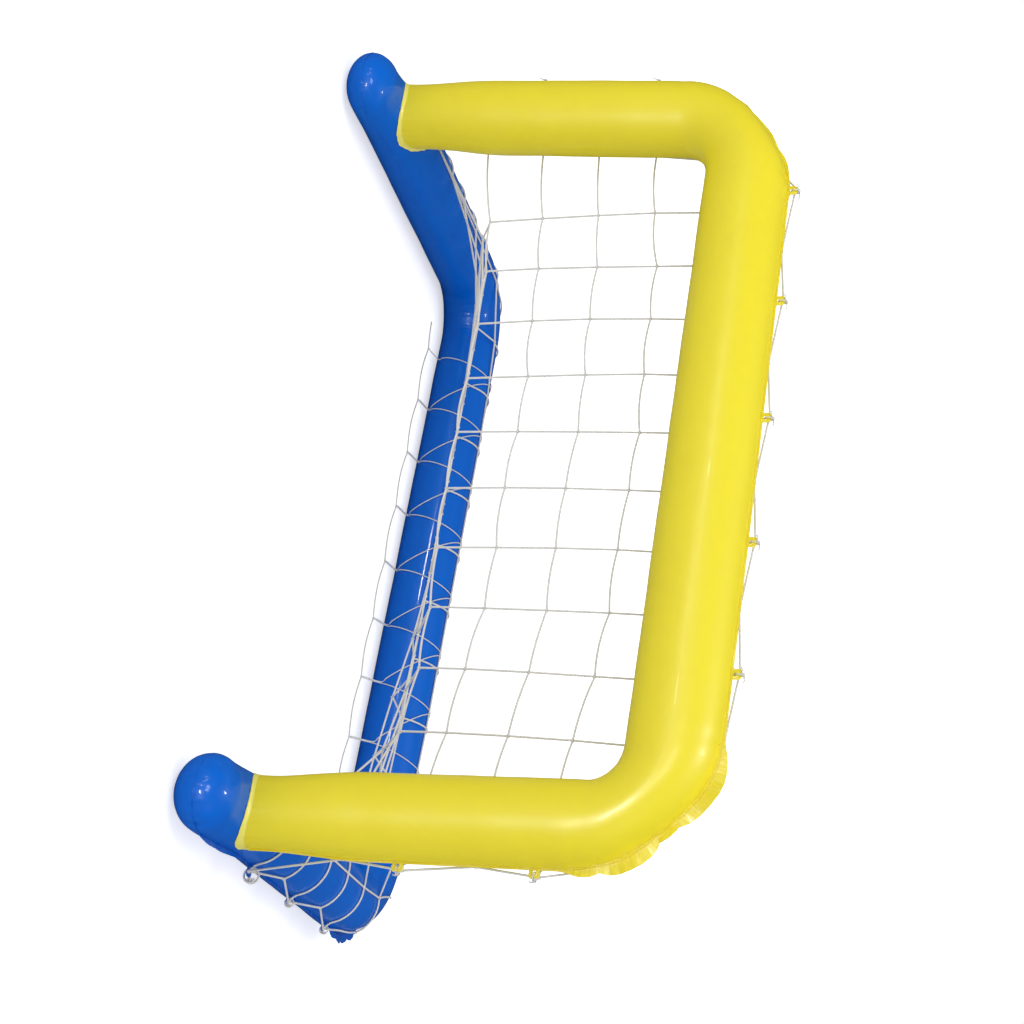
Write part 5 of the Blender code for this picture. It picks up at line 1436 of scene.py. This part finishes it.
def make_tie(node, tube, d, foot, finish):
    loop_radius, cord = (FOOT_TIE_RADIUS, FOOT_TIE_CORD_RADIUS) if foot else (TIE_RADIUS, TIE_CORD_RADIUS)
    line, loop = tie_line(tube, d, loop_radius, TIE_ADVANCE * (cord / TIE_CORD_RADIUS))
    weave = Weave()
    weave.tube(smooth_path(line, TIE_STEP), cord)
    out, back, along = tube.outward(d), tube.normal, tube.tangent(d)
    start = loop[0].lerp(loop[-1], 0.5)
    for shift, tilt in TIE_KNOT_TURNS:
        first = (out * math.cos(tilt) + along * math.sin(tilt)).normalized()
        turn = ring_points(start + along * (cord * shift), first, back, cord * TIE_KNOT_RADIUS, 16)
        weave.tube(turn, cord, closed=True)
    dress(weave.made("cord_" + node), finish, [node])


def make_ties(portal, base, finish):
    """A tie a little beside each tied knot; gives back the places of the tabs."""
    ties = {"crossbar": [bar_place(portal, column, NET_PITCH_HANGING) + TIE_BESIDE_KNOT for column in TIED_COLUMNS],
            "rear_bar": [bar_place(base, column, NET_PITCH_REAR) + TIE_BESIDE_KNOT for column in TIED_REAR_COLUMNS]}
    for side, word in ((-1, "left"), (1, "right")):
        ties[word + "_post"] = [post_row_place(portal, row, side) + side * TIE_BESIDE_KNOT for row in TIED_POST_ROWS]
        ties[word + "_base"] = [side_place(base, side_row_y(row, base), side) - side * TIE_BESIDE_KNOT
                                for row in TIED_BASE_ROWS]
        ties[word + "_foot"] = [side_place(base, side_row_y(FOOT_ROW, base), side) - side * FOOT_TIE_BESIDE_KNOT]
    for name, places in ties.items():
        tube = portal if name in ("crossbar", "left_post", "right_post") else base
        for number, d in enumerate(places, start=1):
            node = name + "_tie" + (f"_{number}" if len(places) > 1 else "")
            make_tie(node, tube, d, name.endswith("foot"), finish)
    return (ties["left_post"] + ties["crossbar"] + ties["right_post"],
            ties["left_base"] + ties["rear_bar"] + ties["right_base"], ties["left_foot"] + ties["right_foot"])


# ---- Valves ----


def valve_place(tube, d, angle):
    up = tube.direction(d, angle)
    along = tube.tangent(d)
    if along.z > 0.1:
        along = -along
    place = Matrix((along, up.cross(along), up)).transposed().to_4x4()
    place.translation = tube.surface(d, angle)
    return place


def rounded(profile, radius):
    """A closed profile with its corners rounded off."""
    points = []
    count = len(profile)
    for k, here in enumerate(profile):
        here = Vector(here)
        before, after = Vector(profile[k - 1]), Vector(profile[(k + 1) % count])
        if here.x < 1e-6:
            points.append(here)
            continue
        cut = min(radius, (before - here).length * 0.45, (after - here).length * 0.45)
        a, b = here + (before - here).normalized() * cut, here + (after - here).normalized() * cut
        for t in (0.0, 0.33, 0.67, 1.0):
            points.append(a * (1 - t) ** 2 + here * 2 * t * (1 - t) + b * t ** 2)
    return points


def turned(weave, profile, place, radius):
    """A closed profile of radius and height, turned about the valve's own Z."""
    points = rounded(profile, radius)
    rows = [[place @ Vector((p.x * math.cos(angle), p.x * math.sin(angle), p.y)) for p in points]
            for angle in turns(TURNED_STEPS)]
    weave.sheet(rows, loop=True, ring=True)


def merged(obj):
    weld = opened(obj)
    bmesh.ops.remove_doubles(weld, verts=weld.verts, dist=1e-6)
    flat = [face for face in weld.faces if face.calc_area() < 1e-14]
    bmesh.ops.delete(weld, geom=flat, context="FACES")
    bmesh.ops.recalc_face_normals(weld, faces=weld.faces)
    put_back(weld, obj)
    obj.data.shade_smooth()
    return obj


def stem_outline():
    rim_bottom = -STEM_RIM_TOP - STEM_RIM_THICKNESS
    return [(STEM_RADIUS, STEM_OUT), (STEM_RADIUS, -STEM_RIM_TOP), (STEM_RIM_RADIUS, -STEM_RIM_TOP),
            (STEM_RIM_RADIUS, rim_bottom), (STEM_RADIUS, rim_bottom), (STEM_RADIUS, -STEM_IN),
            (STEM_BORE, -STEM_IN), (STEM_BORE, STEM_OUT)]


def flange_rows(place, tube_radius):
    """A disc bent to the tube with a raised welding ring."""
    inner = STEM_RADIUS + GAP
    middle, rim = VALVE_FLANGE_EDGE
    section = [(inner, 0.0), (inner, middle), *VALVE_FLANGE_RINGS, (VALVE_FLANGE_RADIUS, rim),
               (VALVE_FLANGE_RADIUS, 0.0)]
    rows = []
    for angle in turns(DISC_STEPS):
        row = []
        for radius, lift in section:
            along, aside = radius * math.cos(angle), radius * math.sin(angle)
            height = math.sqrt((tube_radius + VALVE_FLANGE_SEAT) ** 2 - aside ** 2) - tube_radius
            row.append(place @ Vector((along, aside, height + lift)))
        rows.append(row)
    return rows


def strap_rows(place):
    """A ring round the stem, its section drawn out into a tongue on the hinge's side."""
    inner = STEM_RADIUS + GAP
    ring = inner + STRAP_RING_WIDTH
    half = STRAP_THICKNESS / 2
    middle = STEM_OUT - HINGE_DROP
    rows = []
    for angle in turns(STRAP_STEPS):
        way = Vector((math.cos(angle), math.sin(angle)))
        outer = ring
        if way.x > 0.0 and abs(way.y) < STRAP_WIDTH / 2 / ring:
            outer = (HINGE_OFFSET + STRAP_END) / way.x
        upper = [(inner, half * 0.7), (inner + BLUNT, half), (outer - BLUNT, half), (outer, half * 0.6)]
        section = upper + [(out, -lift) for out, lift in upper[::-1]]
        rows.append([place @ Vector((way.x * out, way.y * out, middle + lift)) for out, lift in section])
    return rows


def block(weave, place, low, high):
    """A small block with blunted edges."""
    low, high = Vector(low), Vector(high)
    rows = []
    for x, inset in ((low.x, BLUNT), (low.x + BLUNT, 0.0), (high.x - BLUNT, 0.0), (high.x, BLUNT)):
        y0, y1, z0, z1 = low.y + inset, high.y - inset, low.z + inset, high.z - inset
        outline = [(y0 + BLUNT, z0), (y1 - BLUNT, z0), (y1, z0 + BLUNT), (y1, z1 - BLUNT),
                   (y1 - BLUNT, z1), (y0 + BLUNT, z1), (y0, z1 - BLUNT), (y0, z0 + BLUNT)]
        rows.append([place @ Vector((x, y, z)) for y, z in outline])
    weave.sheet(rows, ring=True, caps=True)


def make_valve(prefix, tube, d, angle, finishes):
    vinyl, clear, slot = finishes
    place = valve_place(tube, d, angle)
    under = STEM_OUT + GAP
    top = under + CAP_THICKNESS
    tip = STEM_OUT - STOPPER_LENGTH
    leaf = -STEM_IN - GAP
    stem, strap, lid, flap = (Weave() for _piece in range(4))
    stem_round, lid_round, flap_round = TURNED_ROUNDING
    turned(stem, stem_outline(), place, stem_round)
    strap.sheet(strap_rows(place), loop=True, ring=True)
    turned(lid, [(0.0, top), (CAP_RADIUS, top), (CAP_RADIUS, under), (STOPPER_TOP_RADIUS, under),
                 (STOPPER_TIP_RADIUS, tip), (0.0, tip)], place, lid_round)
    half = STRAP_THICKNESS / 2
    corner = (HINGE_OFFSET + half, STRAP_WIDTH / 2, top - CAP_SHELF_INSET)
    block(lid, place, (CAP_RADIUS * CAP_SHELF_START, -STRAP_WIDTH / 2, under + CAP_SHELF_INSET), corner)
    block(lid, place, (HINGE_OFFSET - half, -STRAP_WIDTH / 2, STEM_OUT - HINGE_DROP + LUG_GAP), corner)
    turned(flap, [(0.0, leaf), (FLAP_RADIUS, leaf), (FLAP_RADIUS, leaf - FLAP_THICKNESS),
                  (0.0, leaf - FLAP_THICKNESS)], place, flap_round)
    disc = woven(prefix + "_disc", flange_rows(place, tube.radius_at(d)), loop=True, ring=True)
    dress(merged(disc), vinyl, [prefix + "_flange"])
    for weave, piece, node in ((stem, "_tube", "_stem"), (strap, "_band", "_strap"), (lid, "_lid", "_cap"),
                               (flap, "_leaf", "_flap")):
        dress(merged(weave.made(prefix + piece)), clear, [prefix + node])


# ---- Finishes ----


class Sheet:
    """The nodes of a material or world, with short ways to add what the finishes need."""

    def __init__(self, owner):
        owner.use_nodes = True
        self.owner = owner
        self.nodes, self.links = owner.node_tree.nodes, owner.node_tree.links

    def feed(self, node, inputs):
        """Sets a node's inputs to numbers and colours, or links other nodes' outputs to them."""
        for slot, value in inputs.items():
            if isinstance(value, bpy.types.NodeSocket):
                self.links.new(value, node.inputs[slot])
            else:
                node.inputs[slot].default_value = value
        return node

    def add(self, kind, inputs=None):
        return self.feed(self.nodes.new("ShaderNode" + kind), inputs or {})

    def principled(self, inputs):
        self.feed(self.nodes["Principled BSDF"], inputs)
        return self.owner

    def coords(self):
        return self.add("TexCoord").outputs["Object"]

    def flat(self):
        """Flat coordinates of a strip or cord: along and across."""
        made = self.add("UVMap")
        made.uv_map = "flat"
        split = self.add("SeparateXYZ", {"Vector": made.outputs["UV"]})
        return split.outputs["X"], split.outputs["Y"]

    def noise(self, coords, scale, detail=3.0, rough=0.55):
        inputs = {"Vector": coords, "Scale": scale, "Detail": detail, "Roughness": rough}
        return self.add("TexNoise", inputs).outputs["Fac"]

    def sum(self, operation, first, second=0.0):
        made = self.add("Math", {0: first, 1: second})
        made.operation = operation
        return made.outputs[0]

    def ramp(self, value, low, high, start, end):
        inputs = {"Value": value, "From Min": low, "From Max": high, "To Min": start, "To Max": end}
        return self.add("MapRange", inputs).outputs["Result"]

    def mixed(self, share, first, second):
        made = self.add("Mix")
        made.data_type = "RGBA"
        self.feed(made, {"Factor": share, 6: (*first, 1.0), 7: (*second, 1.0)})
        return made.outputs[2]

    def bumped(self, height, strength, distance, onto=None):
        made = self.add("Bump", {"Height": height, "Strength": strength, "Distance": distance})
        if onto is not None:
            self.links.new(onto, made.inputs["Normal"])
        return made.outputs["Normal"]


def vinyl(name, colour, deep, gloss, specular, coat):
    """Soft welded vinyl: slow changes of tone and gloss, a fine grain and faint drawn wrinkles."""
    made = Sheet(bpy.data.materials.new(name))
    coords = made.coords()
    cloudy = made.noise(coords, 38.0, 4.0)
    share = made.ramp(made.sum("MULTIPLY", made.noise(coords, 7.0, 2.0), cloudy), 0.12, 0.42, 0.0, 0.22)
    wrinkled = made.bumped(made.noise(coords, 95.0, 3.0, 0.5), 0.16, 0.0006)
    return made.principled({
        "Base Color": made.mixed(share, colour, deep),
        "Roughness": made.ramp(cloudy, 0.3, 0.7, gloss - 0.035, gloss + 0.045),
        "Coat Weight": coat, "Coat Roughness": 0.07, "Specular IOR Level": specular,
        "Normal": made.bumped(made.noise(coords, 900.0, 2.0), 0.10, 0.00008, wrinkled)})


def flange_vinyl(name, colour, deep, gloss):
    """Two welded layers: a darker weld line near the root, and fine pressed ripples across."""
    made = Sheet(bpy.data.materials.new(name))
    along, across = made.flat()
    line = made.sum("ABSOLUTE", made.sum("SUBTRACT", across, WELD_LINE))
    line = made.ramp(line, 0.0006, 0.0016, 1.0, 0.0)
    coords = made.coords()
    cloudy = made.noise(coords, 60.0)
    tone = made.sum("MAXIMUM", made.sum("MULTIPLY", cloudy, 0.45), made.sum("MULTIPLY", line, 0.85))
    jitter = made.sum("MULTIPLY", made.noise(coords, 45.0, 2.0), 9.0)
    pressed_in = made.sum("SINE", made.sum("ADD", made.sum("MULTIPLY", along, 2 * math.pi / PRESSED_PITCH), jitter))
    return made.principled({
        "Base Color": made.mixed(tone, colour, deep),
        "Roughness": made.ramp(cloudy, 0.3, 0.7, gloss - 0.04, gloss + 0.05),
        "Coat Weight": 0.2, "Coat Roughness": 0.15,
        "Normal": made.bumped(line, 0.5, 0.0004, made.bumped(pressed_in, 0.25, 0.0003))})


def cord_finish(name):
    """Twisted white cord, its strands in shallow grooves, with painted shade: a patchy grey laid into the grooves."""
    made = Sheet(bpy.data.materials.new(name))
    along, across = made.flat()
    along = made.sum("MULTIPLY", along, 2 * math.pi / TWIST_PITCH)
    twist = made.sum("SINE", made.sum("ADD", along, made.sum("MULTIPLY", across, 6 * math.pi)))
    fuzz = made.noise(made.coords(), 700.0)
    # painted shade: grey where the twist's grooves are deepest, made patchy by noise
    groove_shade = made.ramp(twist, -1.0, -0.35, 1.0, 0.0)
    tone = made.sum("MULTIPLY", groove_shade, made.ramp(fuzz, 0.3, 0.7, 0.35, 0.8))
    return made.principled({
        "Base Color": made.mixed(tone, CORD_WHITE, CORD_GROOVE_SHADE),
        "Roughness": made.ramp(fuzz, 0.3, 0.7, 0.62, 0.85),
        "Normal": made.bumped(fuzz, 0.3, 0.00015, made.bumped(twist, 0.6, 0.0004))})


def clear_finish(name):
    """Milky soft vinyl of the valves."""
    made = Sheet(bpy.data.materials.new(name))
    cloudy = made.noise(made.coords(), 220.0)
    return made.principled({
        "Base Color": made.mixed(cloudy, VALVE_CLEAR, VALVE_MILKY),
        "Roughness": made.ramp(cloudy, 0.3, 0.7, 0.22, 0.34),
        "Transmission Weight": 0.35, "IOR": 1.45, "Normal": made.bumped(cloudy, 0.1, 0.0001)})


# ---- Stage ----


def floor_finish():
    """Pale floor that reads white to the camera and still takes the shadow."""
    made = Sheet(bpy.data.materials.new("floor"))
    coords = made.coords()
    made.principled({"Base Color": made.mixed(made.noise(coords, 3.0), *FLOOR_TONES),
                     "Roughness": 0.9, "Specular IOR Level": 0.1})
    rays = made.add("LightPath")
    away = made.add("VectorMath", {0: coords})
    away.operation = "LENGTH"
    strength = made.ramp(away.outputs["Value"], *FLOOR_FADE, FLOOR_GLOW, 1.0)
    glow = made.add("Emission", {"Strength": made.sum("MULTIPLY", rays.outputs["Is Camera Ray"], strength)})
    joined = made.add("AddShader", {0: made.nodes["Principled BSDF"].outputs[0], 1: glow.outputs[0]})
    dull = made.add("BsdfDiffuse", {"Color": FLOOR_DULL})
    seen = made.add("MixShader", {"Fac": rays.outputs["Is Glossy Ray"], 1: joined.outputs[0], 2: dull.outputs[0]})
    made.feed(made.nodes["Material Output"], {"Surface": seen.outputs[0]})
    return made.owner


def make_stage():
    mesh = bpy.data.meshes.new("floor")
    size = FLOOR_SIZE
    mesh.from_pydata([(-size, -size, 0), (size, -size, 0), (size, size, 0), (-size, size, 0)], [], [(0, 1, 2, 3)])
    floor = bpy.data.objects.new("floor", mesh)
    bpy.context.scene.collection.objects.link(floor)
    mesh.materials.append(floor_finish())
    bpy.context.scene.world = bpy.data.worlds.new("studio")
    sky = Sheet(bpy.context.scene.world)
    rays = sky.add("LightPath")
    lit = sky.ramp(rays.outputs["Is Glossy Ray"], 0.0, 1.0, WORLD_LIGHT, WORLD_GLOSS)
    sky.feed(sky.nodes["Background"], {"Strength": sky.sum("MAXIMUM", lit, rays.outputs["Is Camera Ray"]),
                                       "Color": (1.0, 1.0, 1.0, 1.0)})


def area_light(name, place, size, power, diffuse, glossy):
    data = bpy.data.lights.new(name, "AREA")
    data.shape = "RECTANGLE"
    data.size, data.size_y = size
    data.energy = power
    light = bpy.data.objects.new(name, data)
    light.location = place
    light.visible_diffuse = diffuse
    light.visible_glossy = glossy
    light.rotation_euler = (Vector(LAMP_TARGET) - Vector(place)).to_track_quat("-Z", "Y").to_euler()
    bpy.context.scene.collection.objects.link(light)


def make_camera():
    azimuth, elevation = math.radians(CAMERA_AZIMUTH), math.radians(CAMERA_ELEVATION)
    ahead = Vector((-math.sin(azimuth) * math.cos(elevation), math.cos(azimuth) * math.cos(elevation),
                    -math.sin(elevation)))
    right = Vector((math.cos(azimuth), math.sin(azimuth), 0.0))
    up = right.cross(ahead)
    cos, sin = math.cos(CAMERA_ROLL), math.sin(CAMERA_ROLL)
    data = bpy.data.cameras.new("camera")
    data.lens = CAMERA_LENS
    data.sensor_width = CAMERA_SENSOR
    camera = bpy.data.objects.new("camera", data)
    camera.matrix_world = Matrix((up * cos - right * sin, -(up * sin + right * cos), -ahead)).transposed().to_4x4()
    camera.location = Vector(CAMERA_TARGET) - ahead * CAMERA_DISTANCE
    bpy.context.scene.collection.objects.link(camera)
    bpy.context.scene.camera = camera


def main():
    bpy.context.scene.view_settings.view_transform = "Standard"
    portal = make_portal_tube()
    base = make_base_tube()
    yellow = vinyl("yellow_vinyl", YELLOW, YELLOW_DEEP, gloss=0.38, specular=0.5, coat=0.05)
    blue = vinyl("blue_vinyl", BLUE, BLUE_DEEP, gloss=0.34, specular=0.15, coat=0.35)
    yellow_flange = flange_vinyl("yellow_flange", YELLOW, YELLOW_DEEP, gloss=0.38)
    blue_flange = flange_vinyl("blue_flange", BLUE, BLUE_DEEP, gloss=0.25)
    lip = vinyl("pale_weld", YELLOW_LIP, YELLOW, gloss=0.4, specular=0.4, coat=0.1)
    cord = cord_finish("white_cord")
    clear = clear_finish("clear_vinyl")
    portal_valve = post_place(portal, PORTAL_VALVE_HEIGHT, -1)
    base_valve = base.length / 2 + BASE_VALVE_X
    back_angle = math.radians(PORTAL_VALVE_ANGLE)
    low_angle = math.radians(BASE_VALVE_ANGLE)
    portal_hole = [(portal_valve, valve_place(portal, portal_valve, back_angle))]
    base_hole = [(base_valve, valve_place(base, base_valve, low_angle))]
    folds = make_relief(portal, PORTAL_CUSPS, PORTAL_SEED, PORTAL_INNER_SHARE, CORNER_FLAT)
    portal_half("portal_front_vinyl", portal, -1, folds, [], yellow, "portal_front_skin")
    portal_half("portal_back_vinyl", portal, 1, folds, portal_hole, yellow, "portal_back_skin")
    folds = make_relief(base, BASE_CUSPS, BASE_SEED, 1.0, TRUE_ROUND)
    base_half("base_top_vinyl", base, 1, folds, [], blue, "base_top_skin")
    base_half("base_bottom_vinyl", base, -1, folds, base_hole, blue, "base_bottom_skin")
    portal_seams(portal, yellow_flange)
    base_seam_strip(base, blue_flange)
    post_weld_strip("left", -1, portal, base, lip)
    post_weld_strip("right", 1, portal, base, lip)
    make_net(portal, base, cord)
    make_lacing(base, cord)
    portal_tied, base_tied, feet_tied = make_ties(portal, base, cord)
    make_tabs("portal_tabs", portal, portal_tied, [], yellow)
    make_tabs("base_tabs", base, base_tied, feet_tied, blue)
    make_valve("portal_valve", portal, portal_valve, back_angle, (yellow, clear, "portal_vinyl"))
    make_valve("base_valve", base, base_valve, low_angle, (blue, clear, "base_vinyl"))
    make_stage()
    for lamp in LAMPS:
        area_light(*lamp)
    make_camera()


main()
